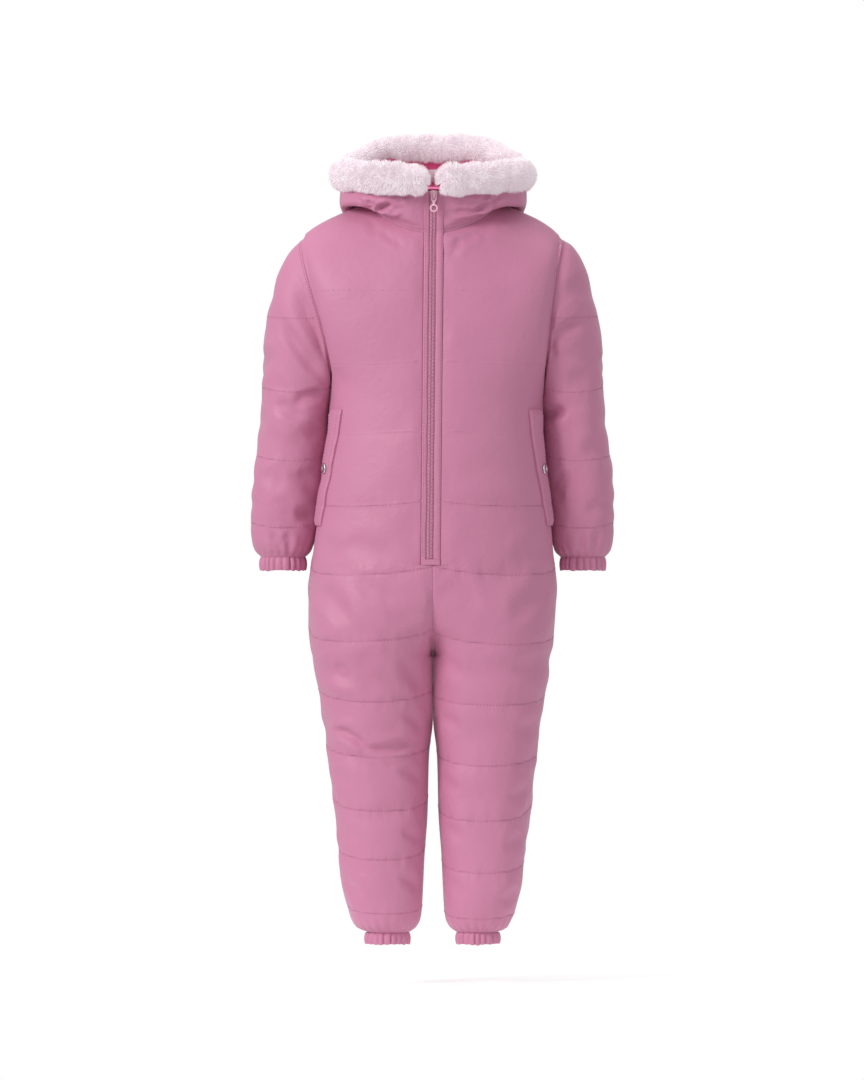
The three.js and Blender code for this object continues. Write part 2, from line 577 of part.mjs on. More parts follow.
// The bright lining that shows inside the hood, in one piece from front edge to front edge.
function hoodLining() {
  const sheet = (depth) => {
    const [left, right] = [1, -1].map((side) => hoodLayers(side)(() => depth).slice(1));
    return left.map((row, i) => {
      const centre = vec(0, row.at(-1).y, row.at(-1).z);
      return everyOther([...row.slice(0, -1), centre, ...right[i].slice(0, -1).reverse()]);
    });
  };
  const depth = hoodWall + liningClear;
  return wallSolid(sheet(depth), sheet(depth + liningWall), false);
}

// The roll of fur round the face opening, with a gap at centre front.
function furRoll() {
  const start = Math.acos((fur.frontGap + fur.radius * 0.45) / fur.halfWidth);
  const steps = 12;
  const path = [];
  for (const side of [1, -1]) {
    const half = [
      ...Array.from({ length: steps + 1 }, (_, i) => ({ face: -1, turn: start * (1 - i / steps) })),
      ...Array.from({ length: steps }, (_, i) => ({ face: 1, turn: ((i + 1) / steps) * (Math.PI / 2) })),
    ].map(({ face, turn }) => ({ point: loopPoint(fur, side, face, turn), radius: furRadius(turn, face) }));
    path.push(...(side > 0 ? half : half.slice(0, -1).reverse()));
  }
  const around = 12;
  const rings = path.map(({ point, radius }, i) => {
    const ahead = path[Math.min(i + 1, path.length - 1)].point;
    const along = ahead.clone().sub(path[Math.max(i - 1, 0)].point).normalize();
    const out = along.clone().cross(vec(0, 0, 1)).normalize();
    const up = out.clone().cross(along);
    const ring = (centre, r) =>
      Array.from({ length: around }, (_, k) => {
        const turn = (k / around) * 2 * Math.PI;
        const p = centre.clone().addScaledVector(out, r * Math.cos(turn));
        return p.addScaledVector(up, r * Math.sin(turn));
      });
    return { point, along, radius, ring };
  });
  const cap = (end, sign) =>
    [[0.98, 0.12], [0.8, 0.3], [0.45, 0.42]].map(([size, reach]) =>
      end.ring(end.point.clone().addScaledVector(end.along, sign * reach * end.radius), end.radius * size),
    );
  const body = rings.map((r) => r.ring(r.point, r.radius));
  const all = [...cap(rings[0], -1).reverse(), ...body, ...cap(rings.at(-1), 1)];
  const triangles = [];
  const close = (row) => [...row, row[0]];
  all.slice(1).forEach((row, i) => ribbon(triangles, close(all[i]), close(row)));
  for (const [row, flip] of [[all[0], false], [all.at(-1), true]]) {
    const middle = middleOf(row);
    row.forEach((p, k) => {
      const next = row[(k + 1) % row.length];
      triangles.push(...(flip ? [middle, p, next] : [middle, next, p]));
    });
  }
  return solidFrom(triangles);
}

// Depth of the suit's front at the centre, from the crotch to the collar.
const collarProfile = hoodSections.map((row) => ({ z: row.zFront, front: row.front }));
const trunkProfile = bodySections.filter((row) => row.z < underarm).map(({ z, front }) => ({ z, front }));
const frontProfile = column([...trunkProfile, ...centreProfile.slice(0, 4), ...collarProfile], "front");

// A flat strip down the front between two side lines and two depths below the front of the suit.
function strip(sides, depths, [bottom, top], rows = zip.rows) {
  const sheet = (depth) =>
    Array.from({ length: rows + 1 }, (_, i) => {
      const z = mix(bottom, top, i / rows);
      return sides.map((x) => vec(x + zipShift(z), -(frontProfile(z) - depth), z));
    });
  return wallSolid(sheet(depths[0]), sheet(depths[1]), false);
}

// A pocket welt: a soft padded band on the panel, made from the panel's own rows.
function pocketWelt(side) {
  const rows = panels[[side, -1]].outer.slice(0, panels[[side, -1]].firstUpper);
  const used = rows.filter((row) => row[5].z <= pocket.top + 4 && row[5].z >= pocket.bottom - 4);
  const across = [0, 0.12, 0.5, 0.88, 1];
  const place = (row, share) => {
    const angles = columnShares.map((c) => c * 87);
    const t = clamp((row[5].z - pocket.bottom) / (pocket.top - pocket.bottom), 0, 1);
    const from = mix(pocket.backAngleBottom, pocket.backAngleTop, t);
    const to = mix(pocket.frontAngleBottom, pocket.frontAngleTop, t);
    const angle = mix(from, to, share);
    const j = angles.findIndex((a) => a > angle) - 1;
    return row[j].clone().lerp(row[j + 1], (angle - angles[j]) / (angles[j + 1] - angles[j]));
  };
  const base = used.map((row) => across.map((share) => place(row, share)));
  const out = inwardVectors(base, side, false).map((row) => row.map((n) => n.negate()));
  const last = base.length - 1;
  const edge = (i, j) => (j === 0 || j === across.length - 1 ? 0.45 : 1) * (i === 0 || i === last ? 0.6 : 1);
  const outer = moved(base, out, (i, j) => pocket.rise * edge(i, j) + pocket.clear);
  return { solid: wallSolid(outer, moved(base, out, () => pocket.clear), false), outer, out };
}
// A dished metal cap set on the middle of a welt.
function snapCap(welt) {
  const index = welt.outer.reduce(
    (best, row, i) => (Math.abs(row[2].z - snap.z) < Math.abs(welt.outer[best][2].z - snap.z) ? i : best),
    0,
  );
  const [low, high] = welt.outer[index][2].z > snap.z ? [index - 1, index] : [index, index + 1];
  const t = (snap.z - welt.outer[low][2].z) / (welt.outer[high][2].z - welt.outer[low][2].z);
  const at = welt.outer[low][2].clone().lerp(welt.outer[high][2], t);
  const { radius, height, dish } = snap;
  const profile = [
    [0, 0], [radius * 0.82, 0], [radius, height * 0.35], [radius * 0.97, height * 0.8],
    [radius * 0.8, height], [radius * 0.5, height * 0.86], [radius * 0.3, height - dish], [0, height - dish],
  ].map(([r, h]) => new THREE.Vector2(r, h));
  const cap = new THREE.LatheGeometry(profile, 24);
  cap.applyQuaternion(new THREE.Quaternion().setFromUnitVectors(vec(0, 1, 0), welt.out[low][2]));
  cap.translate(...at.addScaledVector(welt.out[low][2], 0.35));
  return closed(cap);
}

// Position-only geometry with its doubled points joined.
function closed(geometry) {
  const plain = geometry.index ? geometry.toNonIndexed() : geometry;
  const points = [];
  const read = plain.getAttribute("position");
  for (let i = 0; i < read.count; i += 3) {
    const [a, b, c] = [0, 1, 2].map((k) => vec(...read.array.slice((i + k) * 3, (i + k) * 3 + 3)));
    if (vec(0, 0, 0).crossVectors(b.clone().sub(a), c.clone().sub(a)).length() > 1e-9) points.push(a, b, c);
  }
  return solidFrom(points);
}
const extruded = (points, depth, hole) => {
  const shape = new THREE.Shape(points.map(([x, y]) => new THREE.Vector2(x, y)));
  if (hole) shape.holes.push(new THREE.Path(hole.map(([x, y]) => new THREE.Vector2(x, y))));
  const geometry = new THREE.ExtrudeGeometry(shape, { depth, bevelEnabled: false });
  return closed(geometry.translate(0, 0, -depth / 2));
};
const circle = (x, y, radius, from, to, count) =>
  Array.from({ length: count }, (_, i) => {
    const turn = radians(mix(from, to, i / (count - 1)));
    return [x + radius * Math.cos(turn), y + radius * Math.sin(turn)];
  });

const kernel = await Module();
kernel.setup();
const asSolid = (geometry) =>
  new kernel.Manifold(
    new kernel.Mesh({
      numProp: 3,
      vertProperties: new Float32Array(geometry.getAttribute("position").array),
      triVerts: new Uint32Array(geometry.index.array),
    }),
  );
function joined(first, second) {
  const mesh = asSolid(first).add(asSolid(second)).getMesh();
  const geometry = new THREE.BufferGeometry();
  geometry.setAttribute("position", new THREE.BufferAttribute(new Float32Array(mesh.vertProperties), 3));
  return geometry.setIndex(new THREE.BufferAttribute(new Uint32Array(mesh.triVerts), 1));
}

const sliderFace = -(frontProfile(slider.z) - slider.standOff);
const pivotOut = slider.plate + slider.slotRise / 2;
const pivot = vec(
  zipShift(slider.z),
  sliderFace - pivotOut * Math.cos(radians(slider.lean)),
  slider.z - pivotOut * Math.sin(radians(slider.lean)),
);
// The slider: a shield-shaped plate with a bridge over it, leaning with the collar.
function sliderBody() {
  const { width, length, plate } = slider;
  const outline = [
    [-width * 0.5, length * 0.42], [-width * 0.36, length * 0.54], [width * 0.36, length * 0.54],
    [width * 0.5, length * 0.42], [width * 0.42, -length * 0.4], [width * 0.26, -length * 0.46],
    [-width * 0.26, -length * 0.46], [-width * 0.42, -length * 0.4],
  ];
  const body = extruded(outline, plate).rotateX(Math.PI / 2).translate(0, -plate / 2, 0);
  const y0 = -plate;
  const rise = slider.bridgeRise;
  const foot = -slider.bridgeFoot - 0.1;
  const arch = [
    [slider.bridgeTop, y0 + 0.5], [slider.bridgeTop, y0 - rise * 0.45], [slider.bridgeTop - 1.4, y0 - rise],
    [foot + 1.1, y0 - rise], [foot, y0 - rise * 0.55], [foot, y0 + 0.5],
  ];
  const slot = [
    [slider.slotTop, y0 - 0.02], [slider.slotTop, y0 - slider.slotRise],
    [-slider.slotFoot, y0 - slider.slotRise], [-slider.slotFoot, y0 - 0.02],
  ];
  const turned = extruded(arch.map(([z, y]) => [y, z]), slider.bridge, slot.map(([z, y]) => [y, z]));
  const basis = new THREE.Matrix4().makeBasis(vec(0, 1, 0), vec(0, 0, 1), vec(1, 0, 0));
  const whole = joined(body, turned.applyMatrix4(basis));
  return whole.rotateX(radians(slider.lean)).translate(zipShift(slider.z), sliderFace, slider.z);
}
// The pull tab: a fork with a bar through the bridge, a short stem and a ring, hanging straight down.
function pullTab() {
  const neckAngle = (Math.asin(tab.stem / tab.ringRadius) * 180) / Math.PI;
  const outline = [
    [-tab.armOut, tab.armTop], [-tab.armIn, tab.armTop], [-tab.armIn, -tab.forkFoot],
    [tab.armIn, -tab.forkFoot], [tab.armIn, tab.armTop], [tab.armOut, tab.armTop],
    [tab.armOut, -tab.forkFoot], [tab.stem, -tab.shoulder - 1.6],
    ...circle(0, -tab.ringDrop, tab.ringRadius, 90 - neckAngle, -270 + neckAngle, 22),
    [-tab.stem, -tab.shoulder - 1.6], [-tab.armOut, -tab.forkFoot],
  ];
  const hole = circle(0, -tab.ringDrop, tab.ringHole, 0, 345, 24);
  const plate = extruded(outline, tab.thick, hole).rotateX(Math.PI / 2);
  const bar = new THREE.CylinderGeometry(tab.barRadius, tab.barRadius, tab.armIn * 2 + 1, 10);
  return joined(plate, closed(bar.rotateZ(Math.PI / 2))).translate(...pivot);
}
// A blank hanging loop sewn flat to the lining at the centre back of the hood.
function backLoop() {
  const depth = hoodWall + liningClear + liningWall + hangLoop.clear;
  const [low, high] = hoodLayers(1)(() => depth).slice(-2).map((row) => row.at(-1));
  const sheet = (depth) =>
    [0, 0.5, 1].map((share) => {
      const z = hangLoop.top - hangLoop.height * share;
      const y = mix(low.y, high.y, (z - low.z) / (high.z - low.z)) - depth;
      return [-hangLoop.width / 2, hangLoop.width / 2].map((x) => vec(x, y, z));
    });
  return wallSolid(sheet(hangLoop.thick), sheet(0), false);
}

const material = (look) => new THREE.MeshStandardMaterial(look);
const suit = new THREE.Group();
function add(name, geometry, look) {
  const mesh = new THREE.Mesh(geometry, material(look));
  mesh.name = name;
  suit.add(mesh);
}

for (const side of [1, -1]) {
  const name = sideName(side);
  panelLengths(side, -1).forEach((solid, k) => add(`front_${lengthNames[k]}_${name}`, solid, cloth));
  panelLengths(side, 1).forEach((solid, k) => add(`back_${lengthNames[k]}_${name}`, solid, cloth));
  add("sleeve_" + name, sleeve(side), cloth);
  add("wrist_casing_" + name, casing(wristRing(side), sleeveHem - seamGap, cuff), cloth);
  add("ankle_casing_" + name, casing(ankleRing(side), legHem - seamGap, anklet), cloth);
  add("hood_" + name, hoodHalf(side), cloth);
  const welt = pocketWelt(side);
  add("pocket_welt_" + name, welt.solid, cloth);
  add("pocket_snap_" + name, snapCap(welt), steel);
}
add("hood_lining", hoodLining(), lining);
add("hood_fur", furRoll(), pile);
add("hang_loop", backLoop(), label);

const zipRight = zip.sideClear - zip.rightEdge;
const zipLeft = zip.leftEdge - zip.sideClear;
const barRun = [zip.bottom + seamGap, zip.bottom + zip.endBar];
const zipRun = [zip.bottom + zip.endBar + seamGap, zip.top];
const flapDepths = [zip.flapFront, zip.flapBack];
const coilSides = [seamGap - zip.flapRight, zip.flapLeft - seamGap];
add("zip_tape", strip([zipRight, zipLeft], [zip.tapeFront, zip.tapeBack], zipRun), cloth);
add("zip_flap_left", strip([zip.flapLeft, zipLeft], flapDepths, zipRun), cloth);
add("zip_flap_right", strip([zipRight, -zip.flapRight], flapDepths, zipRun), cloth);
add("zip_coil", strip(coilSides, [zip.coilFront, zip.coilBack], zipRun), cloth);
add("zip_end_bar", strip([zipRight, zipLeft], [zip.barFront, zip.tapeBack], barRun, 2), cloth);
add("slider", sliderBody(), enamel);
add("pull_tab", pullTab(), enamel);

export default suit;
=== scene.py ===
import math

import bmesh
import bpy
import numpy as np
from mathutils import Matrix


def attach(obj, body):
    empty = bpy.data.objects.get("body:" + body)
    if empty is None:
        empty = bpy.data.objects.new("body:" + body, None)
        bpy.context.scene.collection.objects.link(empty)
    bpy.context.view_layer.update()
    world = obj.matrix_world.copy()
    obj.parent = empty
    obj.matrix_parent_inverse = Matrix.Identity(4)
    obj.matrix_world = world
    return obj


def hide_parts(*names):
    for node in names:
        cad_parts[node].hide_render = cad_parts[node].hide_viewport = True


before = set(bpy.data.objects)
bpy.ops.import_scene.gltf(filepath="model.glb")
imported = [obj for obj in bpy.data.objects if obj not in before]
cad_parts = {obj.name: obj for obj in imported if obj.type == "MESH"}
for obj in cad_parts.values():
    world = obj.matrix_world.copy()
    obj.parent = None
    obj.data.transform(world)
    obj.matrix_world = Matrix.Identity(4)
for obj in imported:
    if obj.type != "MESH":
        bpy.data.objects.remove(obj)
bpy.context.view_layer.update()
scene = bpy.context.scene
print("frame loaded:", len(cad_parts), "nodes")

# All sizes are in millimetres until a mesh is made. Left (+X) and right (-X) are the wearer's.
seamGap = 0.06
unsewn = 99.0  # stands for a point far from any sewn line
underarm, shoulderTip, legHem, sleeveHem = -200, -38, -803, -390.5
crotch = -500
detail = 1.0


def linked(name, mesh):
    obj = bpy.data.objects.new(name, mesh)
    scene.collection.objects.link(obj)
    return obj


def shaded(obj, sharp):
    obj.data.shade_smooth()
    obj.data.set_sharp_from_angle(angle=math.radians(sharp))
    return obj


def toMesh(name, points, faces, material, uvs=None, line=None, sharp=42):
    mesh = bpy.data.meshes.new(name)
    mesh.from_pydata((np.asarray(points) / 1000).tolist(), [], faces)
    mesh.validate()
    if uvs is not None:
        layer = mesh.uv_layers.new(name="UVMap")
        loops = np.empty(len(mesh.loops), np.int32)
        mesh.loops.foreach_get("vertex_index", loops)
        layer.data.foreach_set("uv", np.asarray(uvs, float)[loops].ravel())
    if line is not None:
        distance = mesh.attributes.new("lineDistance", "FLOAT", "POINT")
        distance.data.foreach_set("value", line.astype(np.float32))
    mesh.materials.append(material)
    return shaded(linked(name, mesh), sharp)


def smooth(table, col, key=0):
    # a curve without overshoot through one column of a table
    order = np.argsort(table[:, key])
    x, y = table[order, key].astype(float), table[order, col].astype(float)
    d = np.diff(y) / np.diff(x)
    product, total = d[:-1] * d[1:], d[:-1] + d[1:]
    inner = np.where(product > 0, 2 * product / np.where(total == 0, 1, total), 0)
    m = np.concatenate([d[:1], inner, d[-1:]])

    def at(v):
        v = np.clip(np.asarray(v, float), x[0], x[-1])
        i = np.clip(np.searchsorted(x, v, side="right") - 1, 0, len(x) - 2)
        h = x[i + 1] - x[i]
        t = (v - x[i]) / h
        ends = y[i] * (2 * t**3 - 3 * t**2 + 1) + y[i + 1] * (3 * t**2 - 2 * t**3)
        return ends + m[i] * h * (t**3 - 2 * t**2 + t) + m[i + 1] * h * (t**3 - t**2)

    return at


def columnsOf(rows, names):
    return {name: smooth(rows, i + 1) for i, name in enumerate(names)}


def atDetail(count):
    return int(count * detail)


def mix(a, b, t):
    return a + (b - a) * t


def power(v, e):
    return np.sign(v) * np.abs(v) ** e


def ease(a, b, v):
    t = np.clip((v - a) / (b - a), 0, 1)
    return t * t * (3 - 2 * t)


def unit(v):
    return v / np.maximum(np.linalg.norm(v, axis=-1, keepdims=True), 1e-9)


def xyz(x, y, z):
    return np.stack(np.broadcast_arrays(x, y, z), axis=-1).astype(float)


def noise(p, size, seed):
    # smooth noise from -1 to 1 at points p, with a cell size for each axis
    q = p / np.asarray(size, float) + seed * 17.31
    i = np.floor(q).astype(np.int64)
    f = q - i
    f = f * f * (3 - 2 * f)
    total = 0
    for corner in np.ndindex(2, 2, 2):
        k = (i[..., 0] + corner[0]) * 73856093
        k = k ^ ((i[..., 1] + corner[1]) * 19349663) ^ ((i[..., 2] + corner[2]) * 83492791)
        k = (k ^ (k >> 13)) * 1274126177 & 0xFFFFFFFF
        k = (k ^ (k >> 16)) * 2246822519 & 0xFFFFFFFF
        value = (k & 0xFFFFFF) / 0xFFFFFF * 2 - 1
        for axis in range(3):
            value = value * (f[..., axis] if corner[axis] else 1 - f[..., axis])
        total = total + value
    return total


def creaseDepth(p, rows, plane=(0, 2)):
    # soft troughs (+) or ridges (-): each row runs from one place to another in the plane,
    # with its half width, depth, and how far its middle bows
    total = np.zeros(p.shape[:-1])
    for u0, v0, u1, v1, width, depth, bow in rows:
        start = np.array([u0, v0], float)
        along = np.array([u1, v1], float) - start
        length = np.hypot(*along)
        along /= length
        q = p[..., list(plane)] - start
        t = (q @ along) / length
        middle = np.clip(t, 0, 1)
        d = q @ np.array([-along[1], along[0]]) - bow * 4 * middle * (1 - middle)
        ends = ease(-0.15, 0.3, t) * (1 - ease(0.7, 1.15, t))
        w = width * (0.7 + 0.5 * ends)
        trough = np.exp(-((d / w) ** 2))
        lips = np.exp(-(((np.abs(d) - 1.9 * w) / w) ** 2))
        total += depth * (trough - 0.4 * lips) * ends
    return total


def gridNormals(grid, sign, tube=False):
    across = np.roll(grid, -1, axis=1) - np.roll(grid, 1, axis=1) if tube else np.gradient(grid, axis=1)
    return unit(np.cross(across, np.gradient(grid, axis=0))) * sign


def walked(grid, axis=1):
    # distance along the rows (1) or up the columns (0)
    d = np.linalg.norm(np.diff(grid, axis=axis), axis=2)
    zero = np.zeros_like(d[:, :1] if axis == 1 else d[:1])
    return np.concatenate([zero, np.cumsum(d, axis=axis)], axis=axis)


def zipped(a, b):
    # triangles between two runs of point numbers, spread evenly along both
    faces, i, j = [], 0, 0
    na, nb = len(a) - 1, len(b) - 1
    while i < na or j < nb:
        if j == nb or (i < na and (i + 1) * nb <= (j + 1) * na):
            faces.append((a[i], a[i + 1], b[j]))
            i += 1
        else:
            faces.append((a[i], b[j + 1], b[j]))
            j += 1
    return faces


def facingOut(points, faces):
    p = np.asarray(points)
    volume = 0.0
    for count in (3, 4):
        q = np.array([face for face in faces if len(face) == count])
        for k in range(1, count - 1 if len(q) else 1):
            volume += float((p[q[:, 0]] * np.cross(p[q[:, k]], p[q[:, k + 1]])).sum())
    return faces if volume > 0 else [tuple(reversed(f)) for f in faces]


def gridQuads(ids, flip=False):
    a, b, c, d = ids[:-1, :-1], ids[:-1, 1:], ids[1:, 1:], ids[1:, :-1]
    return np.stack([a, d, c, b] if flip else [a, b, c, d], axis=-1).reshape(-1, 4)


def clothWall(name, outer, inner, material, tube=False, line=None):
    # a closed wall between two grids of points, with its cut's own measure as the UV map
    # and the distance of each point from a sewn line as an attribute
    points, uvs, faces = [], [], []

    def lay(grid, flip):
        base = sum(len(p) for p in points)
        rows, cols = grid.shape[:2]
        u = walked(grid)
        u = u - u.mean(axis=1, keepdims=True)
        v = np.repeat(walked(grid, 0).mean(axis=1)[:, None], cols, axis=1)
        points.append(grid.reshape(-1, 3))
        uvs.append(np.stack([u, v], axis=-1).reshape(-1, 2) / 1000)
        ids = base + np.arange(rows * cols).reshape(rows, cols)
        if tube:
            ids = np.concatenate([ids, ids[:, :1]], axis=1)
        faces.extend(map(tuple, gridQuads(ids, flip).tolist()))
        return ids

    o, i = lay(outer, False), lay(inner, True)
    faces.extend(tuple(reversed(f)) for f in zipped(o[0].tolist(), i[0].tolist()))
    faces.extend(zipped(o[-1].tolist(), i[-1].tolist()))
    if not tube:
        faces.extend(zipped(o[:, 0].tolist(), i[:, 0].tolist()))
        faces.extend(tuple(reversed(f)) for f in zipped(o[:, -1].tolist(), i[:, -1].tolist()))
    points = np.concatenate(points)
    if line is not None:
        line = np.concatenate([line.ravel(), np.full(inner.shape[0] * inner.shape[1], unsewn)])
    return toMesh(name, points, facingOut(points, faces), material, np.concatenate(uvs), line)


def tubeMesh(name, rings, material, sharp=50):
    # a solid skinned over closed rings of points, with a cap over each end
    count = rings.shape[1]
    ends = [rings[0].mean(axis=0)[None], rings[-1].mean(axis=0)[None]]
    points = np.concatenate([rings.reshape(-1, 3), *ends])
    ids = np.arange(rings.shape[0] * count).reshape(-1, count)
    faces = []
    for low, high in zip(ids, ids[1:]):
        faces += [(low[k], low[(k + 1) % count], high[(k + 1) % count], high[k]) for k in range(count)]
    faces += [(ids[0][(k + 1) % count], ids[0][k], len(points) - 2) for k in range(count)]
    faces += [(ids[-1][k], ids[-1][(k + 1) % count], len(points) - 1) for k in range(count)]
    faces = [tuple(int(v) for v in f) for f in faces]
    return toMesh(name, points, facingOut(points, faces), material, sharp=sharp)


def softened(node, name, width, material):
    # a finer copy of a hard node, with its edges eased
    mesh = bpy.data.meshes.new(name)
    build = bmesh.new()
    build.from_mesh(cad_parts[node].data)
    bmesh.ops.remove_doubles(build, verts=build.verts, dist=2e-6)
    flat = math.radians(1)
    bmesh.ops.dissolve_limit(build, angle_limit=flat, verts=build.verts, edges=build.edges)
    edges = [e for e in build.edges if len(e.link_faces) == 2 and e.calc_face_angle() > math.radians(28)]
    bmesh.ops.bevel(build, geom=edges, offset=width / 1000, segments=2, profile=0.5, affect="EDGES",
                    clamp_overlap=True)
    bmesh.ops.remove_doubles(build, verts=build.verts, dist=2e-6)
    bmesh.ops.triangulate(build, faces=build.faces)
    bmesh.ops.recalc_face_normals(build, faces=build.faces)
    build.to_mesh(mesh)
    build.free()
    mesh.materials.append(material)
    return shaded(linked(name, mesh), 40)


def places(obj):
    # where the vertices are, in millimetres
    at = np.empty(len(obj.data.vertices) * 3)
    obj.data.vertices.foreach_get("co", at)
    return at.reshape(-1, 3) * 1000


def feed(tree, node, values):
    # set a node's inputs, or join them to the outputs given
    for key, value in values.items():
        if isinstance(value, bpy.types.NodeSocket):
            tree.links.new(value, node.inputs[key])
        else:
            node.inputs[key].default_value = value


def addNode(tree, kind, x=0, y=0, values=None, **props):
    node = tree.nodes.new(kind)
    node.location = (x, y)
    for key, value in props.items():
        setattr(node, key, value)
    feed(tree, node, values or {})
    return node


def newGroup(name, kind, inputs, outputs):
    # an input is given as its default value, or as the word for its kind
    tree = bpy.data.node_groups.new(name, kind)
    words = {float: "Float", int: "Int", tuple: "Color"}
    for label, value in inputs.items():
        plain = isinstance(value, str)
        word = value if plain else words[type(value)]
        made = tree.interface.new_socket(label, in_out="INPUT", socket_type="NodeSocket" + word)
        if not plain:
            made.default_value = value
    for label, word in outputs.items():
        tree.interface.new_socket(label, in_out="OUTPUT", socket_type="NodeSocket" + word)
    return tree, addNode(tree, "NodeGroupInput", -1100).outputs, addNode(tree, "NodeGroupOutput", 900)


def maths(tree, operation, *values, x=0, y=0):
    return addNode(tree, "ShaderNodeMath", x, y, dict(enumerate(values)), operation=operation).outputs[0]


def noiseNode(tree, x, y, **values):
    return addNode(tree, "ShaderNodeTexNoise", x, y, values)


def mapRange(tree, value, x, y, kind="LINEAR", **ends):
    named = {key.replace("_", " "): end for key, end in ends.items()}
    ranged = addNode(tree, "ShaderNodeMapRange", x, y, {"Value": value, **named}, interpolation_type=kind)
    return ranged.outputs["Result"]


# Shader groups that several finishes share.


def clothToneGroup():
    # slow and fine unevenness of a dyed cloth
    tree, start, end = newGroup("Cloth Tone", "ShaderNodeTree",
                                {"Color": (0.6, 0.3, 0.4, 1), "Lift": 0.1, "Size": 18.0},
                                {"Color": "Color", "Mask": "Float"})
    place = addNode(tree, "ShaderNodeTexCoord", -1100, -300).outputs["Object"]
    slow = noiseNode(tree, -850, 100, Vector=place, Scale=start["Size"], Detail=3.0, Roughness=0.5)
    fine = noiseNode(tree, -850, -200, Vector=place, Scale=900.0, Detail=2.0)
    quiet = maths(tree, "MULTIPLY", fine.outputs["Fac"], 0.35, x=-600, y=-200)
    total = maths(tree, "ADD", slow.outputs["Fac"], quiet, x=-400)
    spread = mapRange(tree, total, -200, 0, From_Min=0.45, From_Max=0.95)
    amount = maths(tree, "MULTIPLY", spread, start["Lift"], y=-100)
    blend = addNode(tree, "ShaderNodeMix", 300, 0,
                    {"Factor": amount, "A": start["Color"], "B": start["Color"]},
                    data_type="RGBA", blend_type="SCREEN")
    feed(tree, end, {"Color": blend.outputs["Result"], "Mask": spread})
    return tree


def plainWeaveGroup():
    # height of a plain weave with a few thicker threads, on the cut's own measure
    tree, start, end = newGroup("Plain Weave", "ShaderNodeTree", {"Threads": 2200.0, "Slub": 0.4},
                                {"Height": "Float"})
    uv = addNode(tree, "ShaderNodeUVMap", -1100, -200, uv_map="UVMap").outputs["UV"]
    split = addNode(tree, "ShaderNodeSeparateXYZ", -900, -200, {"Vector": uv})
    waves = []
    for axis, y in (("X", 0), ("Y", -300)):
        turns = maths(tree, "MULTIPLY", split.outputs[axis], start["Threads"], x=-700, y=y)
        waves.append(maths(tree, "SINE", maths(tree, "MULTIPLY", turns, math.pi, x=-500, y=y), x=-300, y=y))
    woven = maths(tree, "MULTIPLY", *waves, x=-100)
    stretch = addNode(tree, "ShaderNodeMapping", -900, -600, {"Vector": uv, "Scale": (900, 60, 1)})
    slub = noiseNode(tree, -700, -600, Vector=stretch.outputs["Vector"], Scale=1.0, Detail=2.0)
    uneven = maths(tree, "MULTIPLY", slub.outputs["Fac"], start["Slub"], x=-100, y=-400)
    feed(tree, end, {"Height": maths(tree, "ADD", woven, uneven, x=200)})
    return tree


def crinkleGroup():
    # height of the small soft crinkles of a light woven cloth over wadding, deeper beside a sewn line
    tree, start, end = newGroup("Soft Crinkle", "ShaderNodeTree", {"Size": 150.0, "Line Pull": 1.0},
                                {"Height": "Float", "Groove": "Float"})
    place = addNode(tree, "ShaderNodeTexCoord", -1100, -300).outputs["Object"]
    broad = noiseNode(tree, -850, 0, Vector=place, Scale=start["Size"], Detail=3.0, Roughness=0.45,
                      Distortion=0.6)
    line = addNode(tree, "ShaderNodeAttribute", -1100, -600, attribute_name="lineDistance").outputs["Fac"]
    near = mapRange(tree, line, -850, -600, "SMOOTHSTEP", From_Min=1.0, From_Max=9.0, To_Min=1.0,
                    To_Max=0.0)
    squeeze = addNode(tree, "ShaderNodeMapping", -850, -300, {"Vector": place, "Scale": (330, 330, 60)})
    pucker = noiseNode(tree, -650, -300, Vector=squeeze.outputs["Vector"], Scale=1.0, Detail=1.0)
    pulled = maths(tree, "MULTIPLY", pucker.outputs["Fac"], near, x=-400, y=-300)
    pulled = maths(tree, "MULTIPLY", pulled, start["Line Pull"], x=-200, y=-300)
    # the groove along a sewn line dents the height, and also masks the painted shade that darkens the
    # cloth's colour there
    groove = mapRange(tree, line, -850, -900, "SMOOTHSTEP", From_Min=0.0, From_Max=1.7, To_Min=1.0,
                      To_Max=0.0)
    total = maths(tree, "ADD", broad.outputs["Fac"], pulled, x=0)
    feed(tree, end, {"Height": maths(tree, "SUBTRACT", total, groove, x=200), "Groove": groove})
    return tree


clothTone, plainWeave, softCrinkle = clothToneGroup(), plainWeaveGroup(), crinkleGroup()


def newMaterial(name, color, rough=0.5, metal=0.0):
    mat = bpy.data.materials.new(name)
    mat.use_nodes = True
    mat.diffuse_color = (*color, 1)
    shader = mat.node_tree.nodes["Principled BSDF"]
    feed(mat.node_tree, shader, {"Base Color": (*color, 1), "Roughness": rough, "Metallic": metal})
    return mat, mat.node_tree, shader


